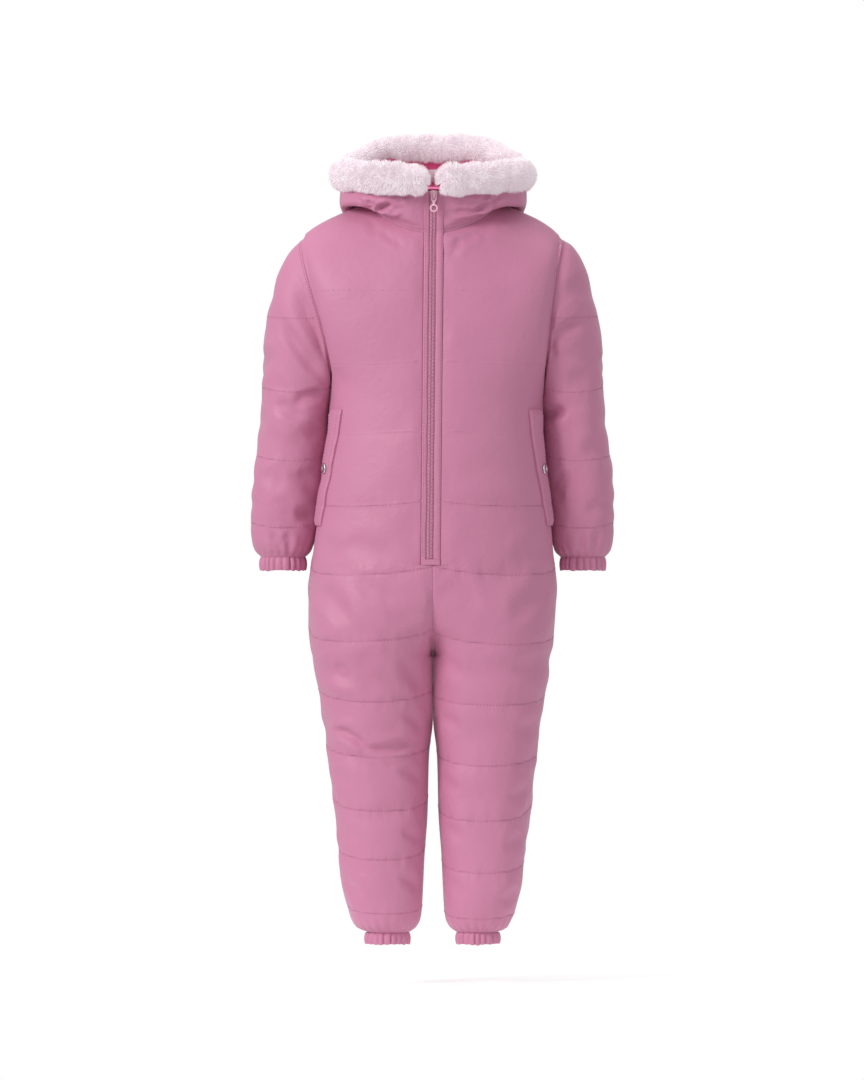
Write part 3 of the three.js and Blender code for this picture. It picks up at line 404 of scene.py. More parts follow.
def clothMaterial(name, look):
    mat, tree, shader = newMaterial(name, look["color"], look["rough"])
    tone = addNode(tree, "ShaderNodeGroup", -700, 300, {"Color": (*look["color"], 1), "Lift": look["lift"]},
                   node_tree=clothTone)
    weave = addNode(tree, "ShaderNodeGroup", -900, -300, {"Threads": look["threads"]}, node_tree=plainWeave)
    crinkle = addNode(tree, "ShaderNodeGroup", -900, -600,
                      {"Size": look["crinkleSize"], "Line Pull": look["linePull"]}, node_tree=softCrinkle)
    creased = addNode(tree, "ShaderNodeBump", -600, -600,
                      {"Strength": look["crinkle"], "Distance": 0.0012, "Height": crinkle.outputs["Height"]})
    woven = addNode(tree, "ShaderNodeBump", -400, -300,
                    {"Strength": look["weave"], "Distance": 0.0002, "Height": weave.outputs["Height"],
                     "Normal": creased.outputs["Normal"]})
    roughness = mapRange(tree, tone.outputs["Mask"], -300, 100, To_Min=look["rough"] - 0.05,
                         To_Max=look["rough"] + 0.07)
    # painted shade: the cloth's colour is multiplied darker along the groove of each sewn line
    shade = maths(tree, "MULTIPLY", crinkle.outputs["Groove"], look["paintedGrooveShade"], x=-600, y=100)
    dark = addNode(tree, "ShaderNodeMix", -400, 300,
                   {"Factor": shade, "A": tone.outputs["Color"], "B": (0.55, 0.42, 0.48, 1)},
                   data_type="RGBA", blend_type="MULTIPLY")
    feed(tree, shader, {"Base Color": dark.outputs["Result"], "Roughness": roughness,
                        "Normal": woven.outputs["Normal"], "Sheen Weight": look["sheen"],
                        "Sheen Roughness": 0.4, "Specular IOR Level": look["specular"],
                        "Sheen Tint": (*look["sheenTint"], 1)})
    return mat


def hardMaterial(name, look):
    mat, tree, shader = newMaterial(name, look["color"], look["rough"], look["metal"])
    place = addNode(tree, "ShaderNodeTexCoord", -1100).outputs["Object"]
    speck = noiseNode(tree, -900, 0, Vector=place, Scale=look["grain"], Detail=4.0)
    wear = noiseNode(tree, -900, -300, Vector=place, Scale=look["grain"] * 0.2, Detail=2.0)
    spread = mapRange(tree, speck.outputs["Fac"], -600, 0, From_Min=0.3, From_Max=0.7,
                      To_Min=max(look["rough"] - 0.08, 0.05), To_Max=look["rough"] + 0.1)
    worn = (*[c * 0.86 for c in look["color"]], 1)
    shift = addNode(tree, "ShaderNodeMix", -400, 200,
                    {"Factor": wear.outputs["Fac"], "A": (*look["color"], 1), "B": worn}, data_type="RGBA")
    raised = addNode(tree, "ShaderNodeBump", -300, -200,
                     {"Strength": look["bump"], "Distance": 0.0002, "Height": speck.outputs["Fac"]})
    feed(tree, shader, {"Base Color": shift.outputs["Result"], "Roughness": spread,
                        "Normal": raised.outputs["Normal"], "Coat Weight": look["coat"],
                        "Coat Roughness": 0.15})
    return mat


def pileMaterial(name, look):
    # soft pile, with clumps a little darker than their neighbours, that also glows faintly in its own
    # colour: painted light that lifts the shade between the strands
    mat, tree, shader = newMaterial(name, look["color"], 0.8)
    place = addNode(tree, "ShaderNodeTexCoord", -900).outputs["Object"]
    clump = noiseNode(tree, -700, 0, Vector=place, Scale=150.0, Detail=3.0)
    blend = addNode(tree, "ShaderNodeMix", -250, 0,
                    {"Factor": mapRange(tree, clump.outputs["Fac"], -480, 0, From_Min=0.35, From_Max=0.65),
                     "A": (*look["color"], 1), "B": (*look["tip"], 1)}, data_type="RGBA")
    feed(tree, shader, {"Base Color": blend.outputs["Result"], "Emission Color": blend.outputs["Result"],
                        "Sheen Weight": 0.3, "Sheen Roughness": 0.5, "Specular IOR Level": 0.2,
                        "Emission Strength": look["paintedGlow"]})
    return mat


# the groove shade amount is painted shade: how much the colour darkens in the grooves of the sewn lines
shellLook = dict(color=(0.59, 0.218, 0.357), rough=0.5, lift=0.06, threads=2200.0, weave=0.12,
                 crinkleSize=120.0, crinkle=0.45, linePull=1.2, paintedGrooveShade=0.12, sheen=0.3, specular=0.35,
                 sheenTint=(1, 0.82, 0.92))
liningLook = dict(shellLook, color=(0.86, 0.16, 0.38), rough=0.45, crinkle=0.25, sheen=0.2, paintedGrooveShade=0.0)
loopLook = dict(shellLook, color=(0.86, 0.80, 0.84), threads=1200.0, weave=0.3, crinkle=0.1, paintedGrooveShade=0.0)
threadLook = dict(shellLook, color=(0.57, 0.205, 0.34), crinkle=0.0, paintedGrooveShade=0.0, lift=0.03)
coilLook = dict(color=(0.78, 0.36, 0.52), rough=0.38, metal=0.0, coat=0.0, grain=300.0, bump=0.05)
enamelLook = dict(color=(0.90, 0.52, 0.64), rough=0.3, metal=0.0, coat=0.4, grain=400.0, bump=0.04)
steelLook = dict(color=(0.80, 0.79, 0.80), rough=0.22, metal=1.0, coat=0.0, grain=500.0, bump=0.03)
# the pile's glow is painted light that brightens the fur where its strands shade each other
pileLook = dict(color=(0.93, 0.83, 0.88), tip=(0.98, 0.93, 0.95), paintedGlow=0.085)

shellCloth = clothMaterial("Quilted Outer Cloth", shellLook)
liningCloth = clothMaterial("Hood Lining Cloth", liningLook)
loopCloth = clothMaterial("Blank Loop Tape", loopLook)
threadMaterial = clothMaterial("Sewing Thread", threadLook)
coilMaterial = hardMaterial("Zip Coil Plastic", coilLook)
enamelMaterial = hardMaterial("Pink Enamelled Metal", enamelLook)
steelMaterial = hardMaterial("Polished Snap Metal", steelLook)
pileMaterialSoft = pileMaterial("Soft Fur Pile", pileLook)
print("finishes made")

# Front and back panels, and the measures that the other cloth shares.

neck = dict(halfWidth=75, zFront=-35, zBack=5)
zipper = dict(bottom=-399, top=8, corner=0.3, rightEdge=10.2, leftEdge=10.6, shiftBottom=-3, shiftTop=0.9,
              endBar=6.2, flapRight=5.0, flapLeft=3.4)
armhole = dict(underX=(122.5, 113.5), tipX=(141, 142), scoop=(0.5, 9.0), bow=(0.5, -9.5), front=49, back=52)
bodyNames = ["outLeft", "outRight", "inner", "front", "back", "square"]
bodyRows = np.array([
    # z, then the columns of bodyNames
    (-803, 73, 74, 26, 23, 25, 2.0), (-797, 83, 85, 18, 32, 35, 2.0),
    (-788, 88, 90.5, 13.5, 37.5, 41, 2.05), (-775, 92.5, 94.5, 11.8, 42, 46, 2.1),
    (-749, 99.4, 101.5, 10.4, 47, 51, 2.1), (-722, 102, 104, 9.2, 49, 54, 2.1),
    (-670, 108.2, 109.6, 5.6, 53, 57, 2.1), (-617, 114.6, 116, 4.4, 58, 61, 2.1),
    (-590, 117.2, 119.2, 2.6, 61, 65, 2.1), (-564, 121.4, 122.6, -0.3, 66, 71, 2.15),
    (-538, 124.8, 127, -1.4, 71, 78, 2.15), (-511, 128.2, 130.6, -1.6, 77, 86, 2.2),
    (-500, 129.8, 132.4, -1.8, 80, 89, 2.2), (-485, 132.4, 134.8, -9, 84, 93, 2.25),
    (-458, 134.9, 137.2, -44, 90, 99, 2.3), (-432, 136, 138, -92, 94, 101, 2.3),
    (-405, 134.5, 135.5, -132, 95, 99, 2.3), (-357, 131, 129, -131, 96, 92, 2.3),
    (-325, 128, 125, -128, 96, 88, 2.3), (-291, 123.6, 120.5, -124, 95, 86, 2.3),
    (-247, 121.4, 115.5, -121, 93, 86, 2.3), (-200, 122.5, 113.5, -122, 90, 87, 2.3),
])
centreRows = np.array([
    # z, front, back
    (-200, 90, 87), (-150, 87, 86.5), (-100, 81, 83), (-60, 72.5, 74), (-30, 62, 64), (5, 56, 50),
])
body = columnsOf(bodyRows, bodyNames)
centreFront, centreBack = smooth(centreRows, 1), smooth(centreRows, 2)
quilting = dict(
    # height at the side seam, drop at the middle of the panel, depth in front, depth behind
    trunk=[(-99, 0, 0.0, 1.2), (-176, 3, 0.5, 1.6), (-252, 3, 0.6, 1.8), (-329, 6, 1.3, 2.2),
           (-400, 10, 2.4, 2.6)],
    left=[(-474, 12, 2.3, 2.7), (-539, 14, 2.4, 2.7), (-603, 16, 2.6, 2.8), (-663, 17, 2.7, 2.8),
          (-722, 15, 2.6, 2.8), (-779, 9, 1.7, 2.2)],
    right=[(-470, 13, 2.7, 2.8), (-532, 17, 2.9, 2.8), (-593, 17, 2.9, 2.8), (-652, 17, 2.9, 2.8),
           (-707, 15, 2.7, 2.8), (-773, 9, 1.6, 2.2)],
    sleeve=[(-52, 0, 0.0, 0.0), (-126, 3, 0.7, 1.2), (-204, 6, 1.6, 2.0), (-279, 6, 2.0, 2.0),
            (-353, 6, 2.0, 2.0)],
    wall=7.0, seam=2.4, seamReach=9.0, deepest=5.6, endBelow=75, endAbove=60, vee=3.0,
)
relief = dict(slow=1.9, middle=1.0, pucker=1.9, puckerFine=0.8, puckerReach=13.0, gather=1.0,
              gatherReach=10.0, crease=1.9)
panelCut = dict(rowStep=2.7, columns=80, armholeRows=56, shoulderRows=36, innerRowStep=3, innerColumnStep=5)
creases = {
    # x, z to x, z, half width, depth, bow
    "front_right": [
        (-126, -493, -6, -528, 11, 1.2, -5), (-130, -499, -104, -511, 8, -1.5, 0),
        (-120, -517, -58, -536, 7, 1.1, 4), (-84, -520, -22, -512, 8, -0.7, 3),
        (-100, -612, -40, -628, 9, 0.8, 3), (-96, -676, -30, -668, 8, 0.7, -3),
        (-92, -733, -36, -741, 8, 0.8, 2), (-111, -579, -73, -600, 4.5, 3.4, 4),
        (-73, -600, -19, -593, 4.5, 3.0, -3), (-122, -504, -91, -530, 8, 2.2, 3),
        (-129, -427, -89, -458, 10, 2.2, 4), (-113, -442, -67, -482, 11, 1.8, -5),
        (-89, -421, -45, -440, 9, 1.4, 3), (-53, -427, -14, -460, 10, 1.5, -4),
        (-36, -504, -10, -537, 7, 1.7, 3), (-31, -564, -10, -579, 5, 1.6, 2),
        (-36, -625, -10, -636, 5, 1.5, 2), (-34, -689, -12, -700, 5, 1.5, -2),
        (-36, -741, -14, -755, 5, 1.4, 2), (-113, -625, -89, -642, 6, 1.3, 2),
        (-109, -686, -85, -700, 6, 1.2, -2), (-105, -746, -78, -763, 6, 1.3, 2),
        (-113, -187, -96, -209, 8, 0.8, 2), (-122, -372, -97, -387, 9, 1.0, -3),
        (-97, -377, -36, -394, 10, 1.1, 4), (-56, -34, -44, -46, 3.2, 0.4, 1),
        (-43, -38, -34, -52, 3.4, 0.35, -1), (-70, -20, -64, -38, 5, 0.5, 2),
    ],
    "front_left": [
        (127, -427, 87, -460, 10, 1.5, -4), (123, -498, 90, -517, 8, 1.3, 3),
        (123, -570, 94, -585, 7, 1.2, -2), (8, -504, 32, -521, 7, 1.4, 3), (8, -565, 28, -579, 6, 1.4, 2),
        (8, -631, 30, -645, 6, 1.3, -2), (10, -686, 32, -700, 6, 1.2, 2), (10, -746, 32, -759, 6, 1.3, 2),
        (107, -642, 83, -656, 6, 1.2, 2), (102, -697, 80, -711, 6, 1.2, -2),
        (96, -755, 74, -768, 6, 1.3, 2), (8, -427, 50, -442, 10, 1.1, 4), (52, -34, 16, -50, 4, 0.9, 2),
        (62, -24, 54, -42, 5, 0.5, -2), (30, -42, 18, -62, 4, 0.7, 2), (112, -506, 20, -522, 11, 0.7, 4),
        (108, -575, 30, -592, 10, 0.7, -4), (104, -640, 24, -654, 10, 0.7, 3),
        (127, -183, 109, -200, 8, 0.8, 2), (124, -378, 87, -391, 9, 1.0, 3),
    ],
    "back_right": [
        (-120, -430, -70, -455, 11, 2.0, 5), (-60, -470, -12, -492, 10, 1.8, -4),
        (-118, -508, -84, -532, 8, 1.8, 3), (-30, -520, -10, -545, 7, 1.5, 2),
        (-112, -578, -76, -598, 5, 2.4, 4), (-40, -640, -12, -655, 6, 1.4, 2),
        (-104, -690, -78, -706, 6, 1.3, -2), (-100, -752, -74, -766, 6, 1.3, 2),
        (-112, -214, -80, -232, 9, 1.4, 3), (-60, -300, -20, -312, 11, 1.2, -4),
        (-118, -356, -86, -372, 9, 1.5, 3), (-90, -96, -64, -128, 8, 1.3, -3),
    ],
    "back_left": [
        (122, -436, 76, -452, 11, 1.9, -5), (58, -474, 14, -490, 10, 1.7, 4),
        (116, -500, 82, -526, 8, 1.7, -3), (32, -530, 12, -552, 7, 1.4, 2),
        (106, -604, 74, -622, 6, 1.8, -3), (40, -676, 14, -690, 6, 1.3, 2),
        (100, -718, 76, -732, 6, 1.3, 2), (94, -762, 70, -776, 6, 1.2, -2),
        (116, -238, 86, -252, 9, 1.3, -3), (64, -276, 22, -290, 11, 1.2, 4),
        (120, -340, 90, -360, 9, 1.4, -3), (96, -110, 66, -134, 8, 1.2, 3),
    ],
    "sleeve_right": [
        (-150, -98, -116, -178, 9, 2.6, 4), (-163, -132, -121, -192, 6, 2.2, -4),
        (-152, -222, -118, -212, 6, 2.4, 3), (-176, -150, -140, -206, 9, -1.2, -3),
        (-153, -299, -131, -320, 7, 1.6, 2), (-150, -336, -132, -352, 6, 1.4, 2),
        (-184, -236, -150, -262, 10, -1.0, 3), (-178, -366, -168, -384, 4, 1.4, 2),
        (-160, -364, -158, -384, 4, 1.4, -1), (-172, -220, -140, -236, 7, 1.4, -3),
        (-126, -244, -136, -262, 8, 1.6, 2), (-128, -290, -144, -304, 8, 1.6, 2),
        (-190, -300, -166, -316, 8, 1.2, 3), (-132, -338, -150, -348, 6, 1.3, 2),
    ],
    "sleeve_left": [
        (128, -158, 162, -132, 6, 2.4, 3), (140, -136, 170, -108, 8, -1.1, 3),
        (121, -158, 136, -172, 6, 1.8, 2), (119, -238, 146, -230, 6, 2.6, 2),
        (140, -216, 166, -206, 7, -0.9, 2), (126, -310, 140, -330, 6, 1.6, 2),
        (165, -366, 160, -384, 4, 1.4, 2), (183, -362, 176, -384, 4, 1.2, -1),
        (176, -190, 150, -208, 8, 1.5, -3), (190, -262, 164, -276, 8, 1.3, 3),
        (130, -302, 150, -314, 7, 1.4, 2), (192, -330, 170, -342, 7, 1.2, -2),
        (150, -88, 172, -104, 9, 1.2, 3),
    ],
}
sideCreases = {
    # the same on the side faces: y, z to y, z, half width, depth, bow
    "right": [(-50, -420, 10, -440, 9, 1.6, 4), (0, -505, 50, -520, 8, 1.5, -3),
              (-40, -566, 20, -590, 7, 1.8, 4), (-20, -640, 30, -652, 7, 1.2, 3),
              (-30, -700, 14, -716, 6, 1.3, -3), (-50, -300, 0, -318, 9, 1.2, 3)],
    "left": [(50, -424, -10, -446, 9, 1.5, -4), (-44, -498, 8, -512, 8, 1.4, 3),
             (40, -560, -16, -578, 7, 1.5, -3), (-30, -628, 24, -644, 7, 1.2, 3),
             (26, -694, -18, -708, 6, 1.2, 3), (44, -286, -4, -302, 9, 1.1, -3)],
    "sleeve": [(-34, -168, 24, -196, 7, 2.0, 4), (56, -150, 2, -176, 8, 1.7, -3),
               (-20, -240, 40, -252, 7, 1.3, 3), (50, -300, 0, -314, 7, 1.2, -3),
               (-16, -330, 36, -338, 6, 1.1, 2), (-20, -96, 34, -118, 9, 1.3, 3)],
}
stitchRuns = []  # runs of points just above the cloth, to be sewn at the end


def sideName(side):
    return "left" if side > 0 else "right"


def zipShift(z):
    t = np.clip((np.asarray(z, float) - zipper["bottom"]) / (zipper["top"] - zipper["bottom"]), 0, 1)
    return mix(zipper["shiftBottom"], zipper["shiftTop"], t)


def zipEdge(side, z):
    return zipper["leftEdge"] + zipShift(z) if side > 0 else zipper["rightEdge"] - zipShift(z)


def ringSize(side, z):
    out = body["outLeft" if side > 0 else "outRight"](z)
    inner = body["inner"](z)
    return (out + inner) / 2, (out - inner) / 2, body["square"](z)


def centreEdge(side, z, face):
    if face > 0:
        return np.full(np.shape(z), seamGap / 2)
    share = np.clip((z - zipper["bottom"] + zipper["corner"]) / zipper["corner"], 0, 1)
    return mix(seamGap / 2, zipEdge(side, z), share)


def armholePoint(side, face, share):
    # the seam is scooped near the underarm and may bow out again near the shoulder
    under, tip, low, high = (armhole[key][0 if side > 0 else 1]
                             for key in ("underX", "tipX", "scoop", "bow"))
    turn = np.asarray(share, float) * np.pi
    rise = (1 - np.cos(turn)) / 2
    depth = armhole["front"] if face < 0 else armhole["back"]
    arch = np.maximum(np.sin(turn), 0)
    return xyz(side * (mix(under, tip, rise) - mix(low, high, rise) * arch), face * depth * arch**0.9,
               mix(underarm, shoulderTip, rise))


def armholeInward(side, p):
    middle = (underarm + shoulderTip) / 2
    to = unit(xyz(0, -p[..., 1], middle - p[..., 2]))
    low = np.clip((middle - p[..., 2]) / (middle - underarm), 0, 1)
    to[..., 0] += -side * (0.15 + 0.15 * low)
    return unit(to)


def neckInward(p):
    to = unit(xyz(-p[..., 0], -p[..., 1], 0))
    to[..., 2] -= 0.6
    return unit(to)


def panelBase(side, face):
    # full-height surface: level rows up to the underarm, then rows that fan over the chest and shoulder
    step = panelCut["rowStep"] / detail
    zipFoot = zipper["bottom"]
    z = np.concatenate([
        np.arange(legHem, zipFoot - 2.5, step), [zipFoot - zipper["corner"], zipFoot],
        np.arange(zipFoot + 2.5, underarm - 1, step)])[:, None]
    cols = atDetail(panelCut["columns"])
    share = np.linspace(0, 1, cols)[None, :]
    share = mix(share, 0.5 - 0.5 * np.cos(share * np.pi), 0.3)
    centre, half, square = ringSize(side, z)
    ratio = (centreEdge(side, z, face) - centre) / half
    end = np.where(ratio <= -1, np.pi, np.arccos(np.clip(power(np.clip(ratio, -1, 1), square / 2), -1, 1)))
    angle = share * end
    depth = body["front" if face < 0 else "back"](z)
    lower = xyz(side * (centre + half * power(np.cos(angle), 2 / square)),
                face * depth * np.maximum(np.sin(angle), 0) ** (2 / square), z)
    # s runs up the armhole to armEnd and on along the shoulder seam to seamEnd
    armEnd, seamEnd = 12, 17
    onArm = np.linspace(0, armEnd, atDetail(panelCut["armholeRows"]))
    onSeam = np.linspace(armEnd, seamEnd, atDetail(panelCut["shoulderRows"]))[1:]
    s = np.concatenate([onArm, onSeam])
    shoulder = np.clip((s - armEnd) / (seamEnd - armEnd), 0, 1)
    tip = armholePoint(side, face, 1.0)
    seam = xyz(mix(tip[0], side * neck["halfWidth"], shoulder), 0, mix(shoulderTip, 0, shoulder**0.66))
    onHole = armholePoint(side, face, np.clip(s / armEnd, 0, 1))
    start = np.where(s[:, None] <= armEnd, onHole, seam)[:, None, :]
    t = (s / seamEnd)[:, None]
    endZ = mix(underarm, neck["zFront"] if face < 0 else neck["zBack"], t)
    endY = face * (centreFront if face < 0 else centreBack)(endZ)
    square = mix(2.3, 2.0, t)
    turn = share * np.arccos((centreEdge(side, endZ, face) / np.abs(start[..., 0])) ** (square / 2))
    upper = xyz(start[..., 0] * np.cos(turn) ** (2 / square),
                mix(start[..., 1], endY, np.sin(turn) ** (2 / square)),
                mix(start[..., 2], endZ, np.sin(turn) ** mix(2.0, 1.6, t)))
    return evened(np.concatenate([lower, upper]), len(lower)), len(lower), len(onArm)


def evened(grid, firstUpper):
    # the chest and shoulder rows settle between their neighbours, away from the seams
    rows, cols = grid.shape[:2]
    fromRow = np.arange(rows)[:, None]
    hold = ease(firstUpper - 12, firstUpper + 2, fromRow) * ease(rows - 1, rows - 9, fromRow)
    hold = hold * ease(0, 0.16, np.linspace(0, 1, cols)[None, :])
    for _ in range(atDetail(90)):
        between = (np.roll(grid, 1, axis=0) + np.roll(grid, -1, axis=0)) / 2
        grid = mix(grid, between, 0.8 * hold[..., None])
    return grid


def quiltField(z, middle, lines, front):
    # how deep the quilting draws the shell in, how far its nearest line is, and how strong that line is
    rows = sorted(lines)
    heights = [row[0] - row[1] * middle for row in rows]
    heights = [heights[0] - quilting["endBelow"], *heights, np.full(z.shape, float(quilting["endAbove"]))]
    depths = [0.0, *[row[2] + (row[3] - row[2]) * (1 - front) for row in rows], 0.0]
    dip = np.zeros(z.shape)
    for low, high, deepLow, deepHigh in zip(heights, heights[1:], depths, depths[1:]):
        t = np.clip((z - low) / (high - low), 0, 1)
        fromLow, fromHigh = (
            0.55 * (1 - np.minimum(2 * u, 1)) ** 2.6 + 0.45 * np.exp(-np.abs(away) / quilting["vee"])
            for u, away in ((t, z - low), (1 - t, high - z)))
        dip = np.where((z >= low) & (z < high), deepLow * fromLow + deepHigh * fromHigh, dip)
    away = np.stack([np.abs(z - h) for h in heights])
    nearest = away.argmin(axis=0)
    strength = np.stack([np.broadcast_to(d, z.shape) for d in depths])
    strength = np.take_along_axis(strength, nearest[None], axis=0)[0]
    return dip, away.min(axis=0), strength


def seamDip(distance):
    return quilting["seam"] * np.exp(-distance / quilting["seamReach"])


def lineMark(away, strength):
    # the distance from a quilting line that the cloth's look reads, longer where the line is faint
    return np.minimum(away / np.clip(strength / 2.6, 0.12, 1), unsewn)


def hemGathers(grid, turn, pleats, stray, seed, hem):
    # small pleats that the gathered casing sends up into the cloth
    waves = np.sin(turn * pleats + stray * noise(grid, (40, 40, 900), seed))
    return relief["gather"] * waves * np.exp(-(grid[..., 2] - hem) / relief["gatherReach"])


def softRelief(p, away, strength, seed):
    # slow rise and fall of the wadding, and puckers that run out from each sewn line
    slow = relief["slow"] * noise(p, (70, 70, 52), seed)
    slow += relief["middle"] * noise(p, (30, 30, 24), seed + 1)
    pull = np.exp(-((away / relief["puckerReach"]) ** 1.4)) * np.clip(strength / 3.4, 0, 1.1)
    puckers = relief["pucker"] * noise(p, (8.5, 8.5, 34), seed + 2)
    puckers += relief["puckerFine"] * noise(p, (5.2, 5.2, 16), seed + 3)
    return slow + puckers * pull * (0.65 + 0.5 * noise(p, (55, 55, 30), seed + 4))


def crossings(grid, surface, inward, level, rise):
    # where each column of a grid crosses a level, on the surface and a little above it
    points = []
    for j in range(grid.shape[1]):
        f = level[:, j]
        i = np.nonzero((f[:-1] < 0) & (f[1:] >= 0))[0]
        if len(i):
            k = i[0]
            t = f[k] / (f[k] - f[k + 1])
            points.append(mix(surface[k, j], surface[k + 1, j], t) - inward[k, j] * rise)
    return np.array(points)


def sewLines(grid, outer, inward, z, middle, lines, front, closed=False):
    for z0, drop, deepFront, deepBack in lines:
        deep = deepFront if np.mean(front) > 0.5 else deepBack
        run = crossings(grid, outer, inward, z - (z0 - drop * middle), 0.18) if deep > 0.6 else []
        if len(run) > 3:
            stitchRuns.append(np.concatenate([run, run[:1]]) if closed else run)


def panelSurface(side, face):
    grid, firstUpper, armRows = panelBase(side, face)
    inward = gridNormals(grid, -side * face)
    onArmhole = slice(firstUpper, firstUpper + armRows)
    inward[onArmhole, 0] = armholeInward(side, grid[onArmhole, 0])
    inward[-1] = neckInward(grid[-1])
    along, up = walked(grid), walked(grid, 0)
    total = along[:, -1:]
    middle = 4 * (along / total) * (1 - along / total)
    lines = quilting["trunk"] + quilting[sideName(side)]
    front = 1.0 if face < 0 else 0.0
    z = grid[..., 2]
    dip, away, strength = quiltField(z, middle**0.8, lines, front)
    leg = ease(crotch + 10, crotch - 25, z)
    fromCentre = total - along
    onLeg = mix(0.12, 1.0, ease(0, 0.26, fromCentre / total))
    dip = dip * mix(0.4, 1.0, ease(0, 0.22, along / total)) * mix(1.0, onLeg, leg)
    fromEdge = np.minimum(along, fromCentre)
    fromTop = up[-1:] - up
    beneathArm = ease(-310, -262, z) * (1 - ease(-200, -186, z))
    atSide = seamDip(along) * (1 - 0.85 * beneathArm)
    atSeams = np.maximum(atSide, seamDip(fromCentre) * mix(1.0, 0.12, leg))
    drawn = np.maximum(dip, np.maximum(atSeams, seamDip(fromTop)))
    drawn[-1] = quilting["seam"]
    name = ("front_" if face < 0 else "back_") + sideName(side)
    loose = ease(0, 12, fromEdge) * ease(0, 12, fromTop) * ease(0, 8, up)
    facing = np.clip(face * -inward[..., 1] * 1.6, 0, 1)
    sideways = np.clip(np.abs(inward[..., 0]) * 1.5 - 0.3, 0, 1)
    seed = 3 + 10 * (side > 0) + 20 * (face > 0)
    extra = softRelief(grid, away, strength, seed)
    extra *= 1 - 0.85 * sideways * ease(-215, -230, z) * ease(-400, -385, z)
    extra += relief["crease"] * creaseDepth(grid, creases[name]) * facing
    extra += creaseDepth(grid, sideCreases[sideName(side)], (1, 2)) * sideways
    extra *= 1 - 0.9 * leg * (1 - ease(0.06, 0.26, fromCentre / total))
    turn = np.arctan2(grid[..., 1], np.abs(grid[..., 0]) - 50)
    extra += hemGathers(grid, turn, ankle["pleats"], 1.3, seed + 6, legHem)
    depth = np.clip(drawn + extra * loose, -1.2, quilting["deepest"])
    return dict(grid=grid, inward=inward, depth=depth, middle=middle, lines=lines, front=front,
                fromCentre=fromCentre / total, line=np.minimum(lineMark(away, strength), fromEdge + 0.4),
                firstUpper=firstUpper, armRows=armRows)


def heldPanel(made, side, face, depth):
    # every edge stays on its own side of the seams
    grid, firstUpper = made["grid"], made["firstUpper"]
    p = grid + made["inward"] * np.asarray(depth)[..., None]
    rows = np.arange(len(grid))
    edge = centreEdge(side, grid[..., 2], face)
    x = side * np.maximum(side * p[..., 0], edge)
    y = face * np.maximum(face * p[..., 1], seamGap / 2)
    # the legs press against each other for a short way below the crotch
    pressed = ease(-604, -556, grid[..., 2]) * ease(crotch + 2, crotch, grid[..., 2])
    pressed = pressed * (1 - ease(0.02, 0.14, made["fromCentre"]))
    x = mix(x, side * seamGap / 2, pressed)
    toLeg = grid[:, -1, 2] <= crotch
    x[~toLeg, -1] = side * edge[~toLeg, -1]
    y[toLeg, -1] = face * seamGap / 2
    x[toLeg, -1] = mix(p[toLeg, -1, 0], side * seamGap / 2, pressed[toLeg, -1])
    toSide = (rows < firstUpper) | (rows >= firstUpper + made["armRows"])
    y[toSide, 0] = face * seamGap / 2
    return np.stack([x, y, p[..., 2]], axis=-1)


def coarser(grid, rowStep, columnStep):
    rows = sorted({*range(0, grid.shape[0], rowStep), grid.shape[0] - 1})
    cols = sorted({*range(0, grid.shape[1], columnStep), grid.shape[1] - 1})
    return grid[np.ix_(rows, cols)]


ankle = dict(pleats=22, height=12.5, ripple=1.5, wall=2)
wrist = dict(pleats=20, height=14.5, ripple=1.8, wall=2)
panels, pieces, cuts = {}, {}, {}


def measureCut(name, grid, tube=False):
    # width, length and area of the cloth that a grid lays out, in metres
    if tube:
        grid = np.concatenate([grid, grid[:, :1]], axis=1)
    across, up = grid[:-1, 1:] - grid[:-1, :-1], grid[1:, :-1] - grid[:-1, :-1]
    area = np.linalg.norm(np.cross(across, up), axis=2).sum() / 1e6
    width, length = walked(grid)[:, -1].max() / 1000, walked(grid, 0)[-1].max() / 1000
    width, length = max(width, 0.0101), max(length, 0.0101)
    cuts[name] = ((round(width, 4), round(length, 4)), round(min(area, width * length), 6))


def makePanel(side, face):
    made = panelSurface(side, face)
    outer = heldPanel(made, side, face, made["depth"])
    inner = heldPanel(made, side, face, np.full(made["depth"].shape, quilting["wall"]))
    made["outer"] = outer
    panels[side, face] = made
    word = "front" if face < 0 else "back"
    name = f"{word}_{sideName(side)}"
    inner = coarser(inner, panelCut["innerRowStep"], panelCut["innerColumnStep"])
    pieces[name] = clothWall("quilted_" + name, outer, inner, shellCloth, line=made["line"])
    measureCut(name, outer)
    z = made["grid"][..., 2]
    sewLines(made["grid"], outer, made["inward"], z, made["middle"] ** 0.8, made["lines"], made["front"])


for side in (1, -1):
    for face in (-1, 1):
        makePanel(side, face)
print("front and back panels made")

# Sleeves.

sleeveNames = ["inner", "outer", "front", "back", "square"]
sleeveRows = np.array([
    # z, then the columns of sleeveNames
    (-232, 126.5, 190.5, 33, 60, 2.1), (-262, 124.5, 194, 30, 62, 2.1), (-290, 125.5, 197, 26.5, 62, 2.1),
    (-315, 128, 198.8, 23, 60, 2.1), (-340, 131, 199.8, 19.5, 57, 2.1), (-360, 133, 199.8, 16.5, 54.5, 2.1),
    (-374, 134, 198.4, 13.5, 52, 2.05), (-383, 135.2, 195.8, 10, 49.5, 2.0),
    (-390.5, 140.6, 189.6, 3, 43, 2.0),
])
sleeveAt = columnsOf(sleeveRows, sleeveNames)
sleeveCut = dict(columns=104, turnRows=56, levelStep=2.7, clear=0.12, beside=2.2, tuckLeft=0.3)


